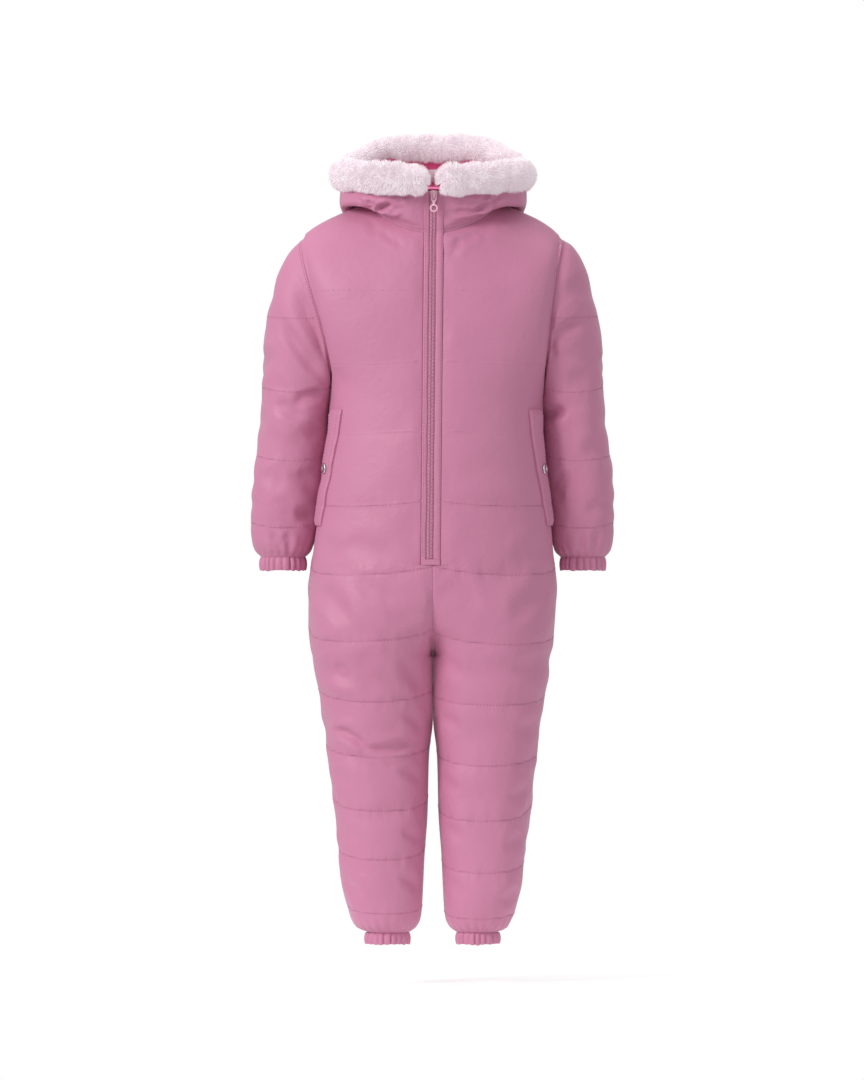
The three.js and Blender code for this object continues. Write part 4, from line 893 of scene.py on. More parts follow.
def sleeveRing(side, z, share, face):
    beside = body["outLeft" if side > 0 else "outRight"](z) - sleeveCut["beside"]
    inner, outer = mix(beside, sleeveAt["inner"](z), ease(-366, -390, z)), sleeveAt["outer"](z)
    front, back = sleeveAt["front"](z), sleeveAt["back"](z)
    turn = share * np.pi
    exponent = 2 / sleeveAt["square"](z)
    x = (inner + outer) / 2 - (outer - inner) / 2 * power(np.cos(turn), exponent)
    y = (back - front) / 2 + face * (back + front) / 2 * np.maximum(np.sin(turn), 0) ** exponent
    return xyz(side * x, y, z)


def sleeveBase(side):
    count = atDetail(sleeveCut["columns"]) // 2 * 2
    u = np.arange(count) / count * 2
    face = np.where(u <= 1, -1.0, 1.0)
    share = np.where(u <= 1, u, 2 - u)
    front, back = armholePoint(side, -1, share), armholePoint(side, 1, share)
    start = np.where(face[:, None] < 0, front, back) + [side * sleeveCut["clear"], 0, 0]
    end = sleeveRing(side, sleeveRows[0, 0], share, face)
    lift = ((1 - np.cos(share * np.pi)) / 2)[:, None]
    # beneath the left arm the sleeve is tucked in against the trunk
    tuck = sleeveCut["tuckLeft"] if side > 0 else 0.0
    outwards = side * mix(0.05 - 0.6 * tuck, 0.86, lift)
    leaving = np.concatenate([outwards, 0 * lift, -mix(0.99, 0.62, lift)], axis=1)
    arriving = np.concatenate([side * mix(tuck, 0.12, lift), 0 * lift, -1 + 0 * lift], axis=1)
    turnRows = atDetail(sleeveCut["turnRows"])
    t = (np.arange(turnRows) / turnRows)[:, None, None]
    turning = start * (2 * t**3 - 3 * t**2 + 1) + end * (3 * t**2 - 2 * t**3)
    turning = turning + leaving * mix(22, 175, lift) * (t**3 - 2 * t**2 + t)
    turning = turning + arriving * mix(30, 150, lift) * (t**3 - t**2)
    z = np.append(np.arange(sleeveRows[0, 0], sleeveHem + 1.5, -sleeveCut["levelStep"] / detail), sleeveHem)
    level = sleeveRing(side, z[:, None], share[None, :], face[None, :])
    return np.concatenate([turning, level]), share


def makeSleeve(side):
    grid, share = sleeveBase(side)
    inward = gridNormals(grid, 1, tube=True)
    toMiddle = grid.mean(axis=1, keepdims=True) - grid
    inward *= np.sign((inward * toMiddle).sum(axis=2).mean())
    inward[0] = armholeInward(side, grid[0])
    fromSeam = walked(grid, 0)
    z = grid[..., 2]
    sag = (1 - np.cos(share * 2 * np.pi))[None, :] / 2 * np.ones_like(z)
    front = np.clip(0.5 + inward[..., 1], 0, 1)
    dip, away, strength = quiltField(z, sag, quilting["sleeve"], front)
    trunkDip = quiltField(grid[:1, :, 2], 0 * z[:1], quilting["trunk"], (grid[:1, :, 1] < 0) * 1.0)[0]
    head = np.clip(np.maximum(trunkDip, quilting["seam"]), 0, quilting["deepest"])
    drawn = np.maximum(dip, seamDip(fromSeam))
    drawn = mix(head, drawn, ease(0, 14, fromSeam))
    loose = ease(0, 14, fromSeam) * ease(0, 6, fromSeam[-1:] - fromSeam)
    # the face that lies against the trunk is flatter
    against = np.clip(side * inward[..., 0] * 1.4 - 0.2, 0, 1)
    drawn = drawn * (1 - 0.94 * against * ease(1, 7, fromSeam))
    outside = np.clip(-side * inward[..., 0] * 1.6, 0, 1)
    drawn = drawn * (1 - 0.45 * outside * ease(10, 30, fromSeam))
    seed = 71 + 10 * (side > 0)
    extra = softRelief(grid, away, strength, seed) * (1 - 0.85 * against)
    facing = np.clip(inward[..., 1] * 1.6, 0, 1)
    extra += relief["crease"] * creaseDepth(grid, creases["sleeve_" + sideName(side)]) * facing
    extra += creaseDepth(grid, sideCreases["sleeve"], (1, 2)) * outside
    behind = np.array(creases["sleeve_" + sideName(side)], float) - [0, 6, 0, 10, 0, 0, 0]
    extra += creaseDepth(grid, behind) * np.clip(-inward[..., 1] * 1.6, 0, 1) * 0.8
    turn = (share * np.pi * np.where(np.arange(len(share)) <= len(share) / 2, 1, -1))[None, :]
    extra += hemGathers(grid, turn, wrist["pleats"], 1.2, seed + 6, sleeveHem)
    depth = np.clip(drawn + extra * loose, -1.0, quilting["deepest"])
    outer = grid + inward * depth[..., None]
    inner = grid + inward * quilting["wall"]
    line = np.minimum(lineMark(away, strength), fromSeam + 0.4)
    name = "sleeve_" + sideName(side)
    rows = sorted({*range(0, len(grid), 3), len(grid) - 1})
    pieces[name] = clothWall("quilted_" + name, outer, inner[rows][:, ::4], shellCloth, tube=True,
                             line=line)
    measureCut(name, outer, True)
    downwards = [(-height, drop, *deep) for height, drop, *deep in quilting["sleeve"]]
    sewLines(grid, outer, inward, -z, -sag, downwards, 1.0, closed=True)
    stitchRuns.append(mix(outer[1], outer[2], 0.5) - inward[1] * 0.2)


for side in (1, -1):
    makeSleeve(side)
print("sleeves made")

# Gathered casings at the wrists and ankles.


def wristRing(side, turn, out):
    inner, outer, front, back = sleeveRows[-1, 1:5]
    x = (outer + inner) / 2 + ((outer - inner) / 2 + out) * np.cos(turn)
    return side * x, (back - front) / 2 + ((front + back) / 2 + out) * np.sin(turn)


def ankleRing(side, turn, out):
    centre, half, _ = ringSize(side, legHem)
    depth = np.where(np.sin(turn) < 0, body["front"](legHem), body["back"](legHem)) + out
    return side * (centre + (half + out) * np.cos(turn)), depth * np.sin(turn)


def makeCasing(name, ringAt, side, top, size, seed):
    around = atDetail(size["pleats"] * 14)
    turn = np.arange(around) * 2 * np.pi / around
    t = np.linspace(0, 1, atDetail(16))[:, None]
    place = xyz(30 * np.cos(turn), 30 * np.sin(turn), 0)
    drift = 1.4 * noise(place, (9, 9, 9), seed) + t * 0.5 * noise(place, (5, 5, 5), seed + 1)
    pleat = 1 - 2 * np.abs(np.sin((turn * size["pleats"] + drift) / 2)) ** 0.75
    strength = size["ripple"] * (0.75 + 0.4 * noise(place, (6, 6, 6), seed + 2))
    fullness = np.sin(np.pi * np.clip(t * 0.92, 0, 1)) ** 0.6
    out = -0.6 + 1.3 * fullness - pleat * strength * mix(0.45, 1.0, fullness)
    x, y = ringAt(side, turn, out)
    frill = 1.1 * noise(place, (7, 7, 7), seed + 3) + 0.5 * pleat
    z = top - size["height"] * t + frill * ease(0.5, 1, t)
    outer = xyz(x, y, z)
    x, y = ringAt(side, turn[::4], -size["ripple"] - size["wall"])
    inner = xyz(x, y, top - size["height"] * np.linspace(0, 1, 5)[:, None])
    pieces[name] = clothWall("gathered_" + name, outer, inner, shellCloth, tube=True,
                             line=np.full(outer.shape[:2], unsewn))
    measureCut(name, outer, True)


for side in (1, -1):
    makeCasing("wrist_casing_" + sideName(side), wristRing, side, sleeveHem - seamGap, wrist, 5 + side)
    makeCasing("ankle_casing_" + sideName(side), ankleRing, side, legHem - seamGap, ankle, 15 + side)
print("casings made")

# Hood, lining, hanging loop and fur.

hoodNames = ["halfWidth", "front", "back", "zFront", "zSide", "zBack"]
hoodRows = np.array([
    # share of the way from neck to fur, then the columns of hoodNames
    (0, 75, 63.8, 50, -35, 0, 5), (1, 77, 65, 60, -30, 3.5, 11), (2, 81, 66, 80, -24, 2.5, -16),
    (3, 86, 67, 92, -17, -2.2, -60), (4, 91.5, 68, 103, -10, -5.2, -96), (5, 97, 69, 122, -6, -7, -105),
    (6, 101.5, 70, 134, -2, -6, -86), (7, 103.5, 71, 141, 1, 0, -50), (8, 103, 72, 136, 3.5, 9.5, -10),
    (9, 101, 73, 119, 6.5, 20, 25),
])
hoodAt = columnsOf(hoodRows, hoodNames)
hoodCut = dict(rows=90, frontColumns=64, backColumns=58, wall=5.6, fullness=0.3, liningClear=1.02,
               liningWall=1.0, lift=0.36, seatRows=9, seatReach=11.0)
furSeat = dict(front=-0.4, side=0.12, back=0.55)
fur = dict(halfWidth=96, front=81, back=92, zFront=21.5, zSide=29, zBack=63, radius=18, early=1.1,
           hollow=(0.2, 0.34), frontGap=8, waves=11, waveHeight=0.5, core=12.2, strand=7.6,
           strandWidth=0.52, density=1.98e6, tabHinge=(0.86, -74.7, 3.1), tabAcross=5.2, tabReach=19.0,
           tabRise=11.0)
hoodCreases = {
    # x, z to x, z, half width, depth, bow, in front and behind
    "front": [(-36, 7, -10, -23, 2.0, 1.1, 2), (-62, -12, -46, -6, 2.6, 2.6, 1),
              (-52, -13, -34, -15, 2.4, -1.0, -2),
              (13, -15, 52, -16, 2.4, 1.2, 2), (44, -13, 64, -5, 2.4, 2.2, -1),
              (20, 4, 34, -10, 2.4, 0.8, 2),
              (60, 6, 50, -8, 2.8, 1.0, 1), (-22, 6, -16, -14, 2.2, 0.7, -1), (-78, 2, -66, -14, 3, 2.0, 2),
              (-72, -8, -52, -24, 2.6, -1.2, 3), (70, -6, 50, -22, 2.6, -1.1, -3),
              (72, 4, 66, -8, 2.8, 1.6, -1),
              (-44, 4, -34, -4, 2.4, 0.8, 1)],
    "back": [(-62, 6, -22, -72, 10, 1.8, 8), (52, 2, 26, -64, 9, 1.7, -7), (-6, 22, 4, -58, 9, 1.2, 4),
             (-74, -16, -34, -94, 8, 1.5, -5), (78, -10, 40, -90, 8, 1.4, 6),
             (-30, -60, 30, -66, 9, 1.3, -6),
             (-40, 18, 36, 16, 7, 1.2, -5)],
}


def loopPoint(size, side, face, turn, fullness=0.0):
    depth = np.where(face < 0, size["front"], size["back"])
    endZ = np.where(face < 0, size["zFront"], size["zBack"])
    behind = ease(0, fur["early"], turn) if size is fur else np.sin(turn) ** 1.6
    z = mix(size["zSide"], endZ, np.where(face < 0, np.sin(turn) ** 1.6, behind))
    bend = 1 - fullness * (face < 0)
    return xyz(side * size["halfWidth"] * np.cos(turn) ** bend, face * depth * np.sin(turn) ** bend, z)


def furShare(side, turn, face):
    # the trim is thinner behind, where it turns towards the shoulders
    return 1 - (face > 0) * fur["hollow"][0 if side > 0 else 1] * np.sin(2 * turn) ** 2


def furRadius(side, turn, face):
    waves = fur["waveHeight"] * np.cos(fur["waves"] * np.where(face < 0, -turn, turn))
    return fur["radius"] * furShare(side, turn, face) + waves


def hoodTurns(halfWidth, edge):
    inFront = np.linspace(1, 0, atDetail(hoodCut["frontColumns"])) * np.arccos(edge / halfWidth)
    behind = np.linspace(0, 1, atDetail(hoodCut["backColumns"]))[1:]
    behind = behind * np.arccos(seamGap / 2 / halfWidth)
    face = np.concatenate([np.full(inFront.shape[-1], -1.0), np.full(behind.shape[-1], 1.0)])
    return face, np.concatenate([inFront, behind], axis=-1)


def hoodBase(side):
    share = np.linspace(0, 9, atDetail(hoodCut["rows"]))[:, None]
    size = {name: at(share) for name, at in hoodAt.items()}
    face, turn = hoodTurns(size["halfWidth"], zipEdge(side, size["zFront"]))
    fullness = hoodCut["fullness"] * ease(0.6, 3, share) * (1 - ease(6.5, 9, share))
    rows = loopPoint(size, side, face, turn, fullness)
    rows[..., 2] += hoodCut["lift"] * np.exp(-4 * share)
    face, turn = hoodTurns(fur["halfWidth"], zipEdge(side, zipper["top"]))
    middle = loopPoint(fur, side, face, turn)
    middleSeat = np.where(face < 0, furSeat["front"], furSeat["back"])
    lean = mix(furSeat["side"], middleSeat, np.sin(turn))[:, None]
    outwards = unit(middle * [1, 1, 0])
    away = outwards * lean + np.array([0, 0, -1]) * np.sqrt(1 - lean**2)
    seat = middle + away * hoodCut["seatReach"] * furShare(side, turn, face)[:, None]
    t = np.linspace(0, 1, hoodCut["seatRows"])[1:, None, None]
    return np.concatenate([rows, mix(rows[-1], seat, t)])


def heldHood(p, grid, side):
    x = side * np.maximum(side * p[..., 0], seamGap / 2)
    x[:, 0] = side * zipEdge(side, grid[:, 0, 2])
    x[:, -1] = side * seamGap / 2
    return np.stack([x, p[..., 1], p[..., 2]], axis=-1)


def makeHood(side):
    grid = hoodBase(side)
    inward = gridNormals(grid, -side)
    inward[0] = neckInward(grid[0])
    fromSeam, along = walked(grid, 0), walked(grid)
    fromEdge = np.minimum(along, along[:, -1:] - along)
    seed = 131 + 10 * (side > 0)
    loose = ease(0, 9, fromSeam) * ease(0, 7, fromEdge)
    extra = 1.3 * noise(grid, (46, 46, 40), seed) + 0.6 * noise(grid, (20, 20, 20), seed + 1)
    extra += 0.8 * noise(grid, (8, 8, 26), seed + 2) * np.exp(-fromSeam / 14)
    extra += 2.0 * creaseDepth(grid, hoodCreases["front"]) * np.clip(inward[..., 1] * 1.6, 0, 1)
    extra += 1.5 * creaseDepth(grid, hoodCreases["back"]) * np.clip(-inward[..., 1] * 1.6, 0, 1)
    drawn = np.maximum(seamDip(fromSeam), 0.7 * seamDip(fromEdge))
    drawn[0] = quilting["seam"]
    depth = np.clip(drawn + extra * loose, -3.0, 4.9)
    outer = heldHood(grid + inward * depth[..., None], grid, side)
    inner = heldHood(grid + inward * hoodCut["wall"], grid, side)
    name = "hood_" + sideName(side)
    pieces[name] = clothWall("soft_" + name, outer, coarser(inner, 3, 3), shellCloth,
                             line=np.minimum(fromSeam, fromEdge) + 0.4)
    measureCut(name, outer)
    # the hood's wall folds over beneath the fur, and the lining keeps to its inner side there
    rows = hoodCut["seatRows"] + 1
    before = inward[-rows - 1]
    turned = 1 - ease(0.3, 0.9, (inward[-rows:] * before).sum(axis=-1))
    inward[-rows:] = unit(mix(inward[-rows:], before[None], turned[..., None]))
    return grid, inward


hoodGrids = {side: makeHood(side) for side in (1, -1)}


def liningSheet(extra):
    halves = []
    for side in (1, -1):
        grid, inward = hoodGrids[side]
        depth = hoodCut["wall"] + hoodCut["liningClear"] + extra(grid, side)
        half = heldHood(grid + inward * np.asarray(depth)[..., None], grid, side)[6:]
        halves.append(half)
    left, right = halves
    centre = left[:, -1:] * [0, 1, 1]
    return np.concatenate([left[:, :-1], centre, right[:, -2::-1]], axis=1)


def liningRelief(grid, side):
    return 0.8 * (1 + noise(grid, (26, 26, 22), 151)) + 0.4 * (1 + noise(grid, (9, 9, 24), 152))


measureCut("hood_lining", liningSheet(liningRelief))
pieces["hood_lining"] = clothWall(
    "hood_lining_cloth", liningSheet(liningRelief),
    coarser(liningSheet(lambda grid, side: liningRelief(grid, side) + hoodCut["liningWall"]), 2, 2),
    liningCloth)
print("hood and lining made")


def makeLoop():
    size = dict(width=8.0, height=14.0, thick=0.8, top=40.0, clear=0.6)
    grid, inward = hoodGrids[1]
    depth = hoodCut["wall"] + hoodCut["liningClear"] + hoodCut["liningWall"] + 2.2
    lining = grid[:, -1] + inward[:, -1] * depth
    order = np.argsort(lining[-14:, 2])
    t = np.linspace(0, 1, atDetail(26))[:, None]
    z = size["top"] - size["height"] * t
    y = np.interp(z, lining[-14:, 2][order], lining[-14:, 1][order])
    u = np.linspace(-0.5, 0.5, atDetail(12))[None, :]
    x = u * size["width"] * (1 - 0.05 * np.sin(np.pi * t)) + 0.6 * t
    swell = 2.2 * np.sin(np.pi * t) ** 0.8
    front = xyz(x, y - size["thick"] - swell - 0.2 * (1 - 4 * u * u), z)
    back = xyz(x, y - swell * 0.9, z)
    pieces["hang_loop"] = clothWall("blank_hang_loop", front, back, loopCloth)
    measureCut("hang_loop", front)


makeLoop()


def runToMesh(name, runs):
    # the runs of points as one mesh of edges
    points = np.concatenate(runs) / 1000
    edges, first = [], 0
    for run in runs:
        edges += [(first + k, first + k + 1) for k in range(len(run) - 1)]
        first += len(run)
    mesh = bpy.data.meshes.new(name)
    mesh.from_pydata(points.tolist(), edges, [])
    return linked(name, mesh)


def beadTree():
    # small rounded beads along a run of edges: stitches, or the turns of a zip coil
    tree, start, end = newGroup(
        "Beads Along A Run", "GeometryNodeTree",
        {"Geometry": "Geometry", "Pitch": 0.0036, "Along": 0.0026, "Deep": 0.0007, "Wide": 0.0007,
         "Segments": 5, "Rings": 4, "Material": "Material"},
        {"Geometry": "Geometry"})
    curve = addNode(tree, "GeometryNodeMeshToCurve", -850, 0, {0: start["Geometry"]})
    spaced = addNode(tree, "GeometryNodeResampleCurve", -650, 0, mode="LENGTH")
    feed(tree, spaced, {"Curve": curve.outputs[0], "Length": start["Pitch"]})
    tangent = addNode(tree, "GeometryNodeInputTangent", -850, -200).outputs[0]
    turned = addNode(tree, "FunctionNodeAlignRotationToVector", -450, -200, {"Vector": tangent}, axis="X")
    bead = addNode(tree, "GeometryNodeMeshUVSphere", -450, 200,
                   {"Segments": start["Segments"], "Rings": start["Rings"], "Radius": 0.5})
    size = addNode(tree, "ShaderNodeCombineXYZ", -450, -450,
                   {"X": start["Along"], "Y": start["Deep"], "Z": start["Wide"]})
    placed = addNode(tree, "GeometryNodeInstanceOnPoints", -200, 0,
                     {"Points": spaced.outputs[0], "Instance": bead.outputs["Mesh"],
                      "Rotation": turned.outputs[0], "Scale": size.outputs[0]})
    real = addNode(tree, "GeometryNodeRealizeInstances", 0, 0, {0: placed.outputs[0]})
    smoothed = addNode(tree, "GeometryNodeSetShadeSmooth", 200, 0, {"Geometry": real.outputs[0]})
    painted = addNode(tree, "GeometryNodeSetMaterial", 400, 0,
                      {"Geometry": smoothed.outputs[0], "Material": start["Material"]})
    feed(tree, end, {"Geometry": painted.outputs[0]})
    return tree


def randomValue(tree, low, high, x, y):
    node = addNode(tree, "FunctionNodeRandomValue", x, y, data_type="FLOAT")
    ends = [socket for socket in node.inputs if socket.type == "VALUE"]
    ends[0].default_value = low
    ends[1].default_value = high
    return next(socket for socket in node.outputs if socket.enabled)


def vectorMaths(tree, operation, x, y, values):
    return addNode(tree, "ShaderNodeVectorMath", x, y, values, operation=operation).outputs[0]


def furTree():
    # strands that stand on a surface, lean in clumps and hang a little
    tree, start, end = newGroup(
        "Fur Strands", "GeometryNodeTree",
        {"Geometry": "Geometry", "Density": 2.2e6, "Lean": 0.9, "Clump Scale": 95.0, "Fall": 0.25,
         "Shortest": 0.7, "Longest": 1.15, "Seed": 1, "Strand": "Object", "Material": "Material"},
        {"Geometry": "Geometry"})
    spread = addNode(tree, "GeometryNodeDistributePointsOnFaces", -850, 0,
                     {"Mesh": start["Geometry"], "Density": start["Density"], "Seed": start["Seed"]},
                     distribute_method="RANDOM")
    place = addNode(tree, "GeometryNodeInputPosition", -1100, -400).outputs[0]
    clump = noiseNode(tree, -850, -400, Vector=place, Scale=start["Clump Scale"], Detail=2.0)
    centred = vectorMaths(tree, "SUBTRACT", -650, -400, {0: clump.outputs["Color"], 1: (0.5, 0.5, 0.5)})
    leaning = vectorMaths(tree, "SCALE", -450, -400, {0: centred, "Scale": start["Lean"]})
    standing = vectorMaths(tree, "ADD", -250, -300, {0: leaning, 1: spread.outputs["Normal"]})
    down = addNode(tree, "ShaderNodeCombineXYZ", -250, -550, {"Z": start["Fall"]})
    falling = vectorMaths(tree, "SUBTRACT", -50, -300, {0: standing, 1: down.outputs[0]})
    spin = addNode(tree, "ShaderNodeCombineXYZ", -250, -700,
                   {"Z": randomValue(tree, 0.0, 2 * math.pi, -450, -700)})
    begun = addNode(tree, "FunctionNodeEulerToRotation", -50, -700, {0: spin.outputs[0]})
    turned = addNode(tree, "FunctionNodeAlignRotationToVector", 150, -400,
                     {"Rotation": begun.outputs[0], "Vector": falling}, axis="Z")
    tuftScale = maths(tree, "MULTIPLY", start["Clump Scale"], 0.7, x=-1000, y=-900)
    tufts = noiseNode(tree, -850, -900, Vector=place, Scale=tuftScale, Detail=1.0)
    ranged = mapRange(tree, tufts.outputs["Fac"], -600, -900, From_Min=0.3, From_Max=0.7,
                      To_Min=start["Shortest"], To_Max=start["Longest"])
    uneven = randomValue(tree, 0.8, 1.08, -450, -1100)
    length = maths(tree, "MULTIPLY", ranged, uneven, x=-100, y=-900)
    strand = addNode(tree, "GeometryNodeObjectInfo", -200, 200, {"Object": start["Strand"]})
    placed = addNode(tree, "GeometryNodeInstanceOnPoints", 300, 0,
                     {"Points": spread.outputs["Points"], "Instance": strand.outputs["Geometry"],
                      "Rotation": turned.outputs[0], "Scale": length})
    real = addNode(tree, "GeometryNodeRealizeInstances", 500, 0, {0: placed.outputs[0]})
    painted = addNode(tree, "GeometryNodeSetMaterial", 700, 0,
                      {"Geometry": real.outputs[0], "Material": start["Material"]})
    feed(tree, end, {"Geometry": painted.outputs[0]})
    return tree


beads, furStrands = beadTree(), furTree()


def grown(source, tree, values, name):
    # the tree's result on the source, as a plain mesh
    modifier = source.modifiers.new(tree.name, "NODES")
    modifier.node_group = tree
    for item in tree.interface.items_tree:
        if item.item_type == "SOCKET" and item.in_out == "INPUT" and item.name in values:
            modifier[item.identifier] = values[item.name]
    bpy.context.view_layer.update()
    graph = bpy.context.evaluated_depsgraph_get()
    mesh = bpy.data.meshes.new_from_object(source.evaluated_get(graph))
    mesh.name = name
    source.modifiers.clear()
    bpy.data.objects.remove(source)
    return linked(name, mesh)


def furPath():
    start = math.acos((fur["frontGap"] + fur["radius"] * 0.45) / fur["halfWidth"])
    steps = atDetail(96)
    face = np.concatenate([np.full(steps + 1, -1.0), np.full(steps, 1.0)])
    turn = np.concatenate([start * np.linspace(1, 0, steps + 1), np.linspace(0, np.pi / 2, steps + 1)[1:]])
    left, right = loopPoint(fur, 1, face, turn), loopPoint(fur, -1, face, turn)
    path = np.concatenate([left, right[-2::-1]])
    return path, np.concatenate([furRadius(1, turn, face), furRadius(-1, turn, face)[-2::-1]])


def combed(obj, strandPoints):
    # strands that would stand in the pull tab's swing are left out
    at = places(obj) - fur["tabHinge"]
    inSwing = (np.abs(at[:, 0]) < fur["tabAcross"]) & (np.hypot(at[:, 1], at[:, 2]) < fur["tabReach"])
    inSwing = inSwing & (at[:, 2] < fur["tabRise"])
    strandIn = np.repeat(inSwing.reshape(-1, strandPoints).any(axis=1), strandPoints)
    build = bmesh.new()
    build.from_mesh(obj.data)
    gone = [vertex for vertex, isIn in zip(list(build.verts), strandIn) if isIn]
    bmesh.ops.delete(build, geom=gone, context="VERTS")
    build.to_mesh(obj.data)
    build.free()


def makeFur():
    path, radius = furPath()
    core = fur["core"] * radius / fur["radius"]
    along = unit(np.gradient(path, axis=0))
    out = unit(np.cross(along, [0, 0, 1]))
    up = np.cross(out, along)
    turn = np.arange(atDetail(26)) / atDetail(26) * 2 * np.pi

    def ring(i, shift, size):
        middle = path[i] + along[i] * shift
        away = np.cos(turn)[:, None] * out[i] + np.sin(turn)[:, None] * up[i]
        lumps = 1 + 0.07 * noise(middle + 9 * away, (11, 11, 11), 161)
        return middle + (core[i] * size * lumps)[:, None] * away

    bend = np.linspace(0, np.pi / 2, 7)[1:]
    low, high = ([ring(i, sign * 0.75 * core[i] * math.sin(a), max(math.cos(a), 0.08)) for a in bend]
                 for i, sign in ((0, -1), (-1, 1)))
    rings = np.array(low[::-1] + [ring(i, 0, 1) for i in range(len(path))] + high)
    pieces["hood_fur"] = tubeMesh("fur_trim_core", rings, pileMaterialSoft)
    # a strand is a narrow blade that bends and tapers to a point
    length, width = fur["strand"] / 1000, fur["strandWidth"] / 1000
    shape = [(side * width * wide, away * length, rise * length)
             for wide, away, rise in ((0.5, 0, 0), (0.42, 0.02, 0.45), (0.25, 0.1, 0.8))
             for side in (-1, 1)]
    shape.append((0, 0.2 * length, length))
    strand = bpy.data.meshes.new("strand")
    strand.from_pydata(shape, [], [(0, 1, 3, 2), (2, 3, 5, 4), (4, 5, 6)])
    strand.shade_smooth()
    strandObject = linked("strand", strand)
    third = len(rings) // 3
    for index, name in enumerate(("left", "back", "right")):
        part = rings[index * third : (index + 1) * third + 1 if index < 2 else len(rings)]
        closedPart = np.concatenate([part, part[:, :1]], axis=1)
        quads = gridQuads(np.arange(closedPart[..., 0].size).reshape(closedPart.shape[:2]))
        a, b, d = closedPart[0, 0], closedPart[0, 1], closedPart[1, 0]
        if np.dot(np.cross(b - a, d - a), a - part[0].mean(axis=0)) < 0:
            quads = quads[:, ::-1]
        patch = toMesh("fur_patch_" + name, closedPart.reshape(-1, 3), quads.tolist(), pileMaterialSoft)
        fall, shortest, longest = (0.2, 0.55, 0.9) if name == "back" else (0.4, 0.7, 1.15)
        values = {"Density": fur["density"] * 1.0, "Seed": 11 + index,
                  "Strand": strandObject, "Material": pileMaterialSoft, "Lean": 0.7, "Fall": fall,
                  "Shortest": shortest, "Longest": longest}
        pieces["fur_" + name] = grown(patch, furStrands, values, "fur_trim_" + name)
        combed(pieces["fur_" + name], len(shape))
    bpy.data.objects.remove(strandObject)


makeFur()
print("fur made:", sum(len(pieces["fur_" + n].data.polygons) for n in ("left", "back", "right")), "faces")

# Zip: two narrow flaps, the coil between them, the tape behind and the bar at its foot.

frontRows = np.concatenate([bodyRows[:-1][:, [0, 4]], centreRows[:4, :2], hoodRows[:, [4, 2]]])
frontAt = smooth(frontRows, 1)
zipRun = (zipper["bottom"] + zipper["endBar"] + seamGap, zipper["top"])
zipSides = (seamGap - zipper["rightEdge"], zipper["leftEdge"] - seamGap)
coil = dict(centre=-0.8, offset=1.5, pitch=1.5, across=3.3, along=1.15, deep=1.7, depth=1.3)


def zipStrip(name, sides, depths, run, rows, columns=9, bulge=0.0, wave=0.0, waving=(0, 0), seed=0):
    z = np.linspace(run[0], run[1], max(atDetail(rows), 3))[:, None]
    u = np.linspace(0, 1, columns)[None, :]
    sway = wave * noise(xyz(0, 0, z), (50, 50, 21), seed)
    sway += wave * 0.5 * noise(xyz(0, 0, z), (9, 9, 9), seed + 1)
    x = mix(sides[0], sides[1], u) + zipShift(z) + sway * mix(waving[0], waving[1], u)
    roundness = np.clip(4 * u * (1 - u), 0, 1) ** 0.5
    ripple = 0.35 * wave * noise(xyz(20 * u, 0, z), (14, 14, 7), seed + 2) * roundness
    front = frontAt(z)
    outer = xyz(x, -(front - depths[0] + bulge * (roundness - 0.6) + ripple), z)
    inner = xyz(x, -(front - depths[1]), z)
    pieces[name] = clothWall(name + "_cloth", outer, coarser(inner, 4, 3), shellCloth,
                             line=np.full(outer.shape[:2], unsewn))
    measureCut(name, outer)
    return outer


zipStrip("zip_tape", zipSides, (2.4, 4.2), zipRun, 190)
leftFlap = zipStrip("zip_flap_left", (zipper["flapLeft"], zipSides[1]), (1.2, 2.7), zipRun, 190,
                    bulge=0.7, wave=0.45, waving=(1, 0), seed=171)
rightFlap = zipStrip("zip_flap_right", (zipSides[0], -zipper["flapRight"]), (1.2, 2.7), zipRun, 190,
                     bulge=0.7, wave=0.45, waving=(0, 1), seed=181)
barRun = (zipper["bottom"] + seamGap, zipper["bottom"] + zipper["endBar"])
zipStrip("zip_end_bar", zipSides, (0.6, 4.2), barRun, 8, columns=24, bulge=0.7, wave=0.3, seed=191)
for flap, column in ((leftFlap, 6), (rightFlap, 2)):
    stitchRuns.append(flap[2:-2, column] + [0, -0.15, 0])


def coilRun(side):
    z = np.arange(zipRun[0] + 1 + coil["pitch"] / 2 * (side > 0), zipRun[1] - 6, coil["pitch"])
    x = zipShift(z) + coil["centre"] + side * coil["offset"]
    return xyz(x, -(frontAt(z) - coil["depth"]), z)


coilValues = {"Pitch": coil["pitch"] / 1000, "Along": coil["along"] / 1000, "Deep": coil["deep"] / 1000,
              "Wide": coil["across"] / 1000, "Segments": 7, "Rings": 5, "Material": coilMaterial}
coilRuns = runToMesh("coil_run", [coilRun(1), coilRun(-1)])
pieces["zip_coil"] = grown(coilRuns, beads, coilValues, "zip_coil_turns")
print("zip made")

# Pockets and hard pieces.

pocket = dict(top=-228, bottom=-356, rise=3.4, clear=0.95, sink=0.1, front=(20, 33), back=(6, 15),
              fullTurn=87)


def columnShares(cols):
    share = np.linspace(0, 1, cols)
    return mix(share, 0.5 - 0.5 * np.cos(share * np.pi), 0.3)


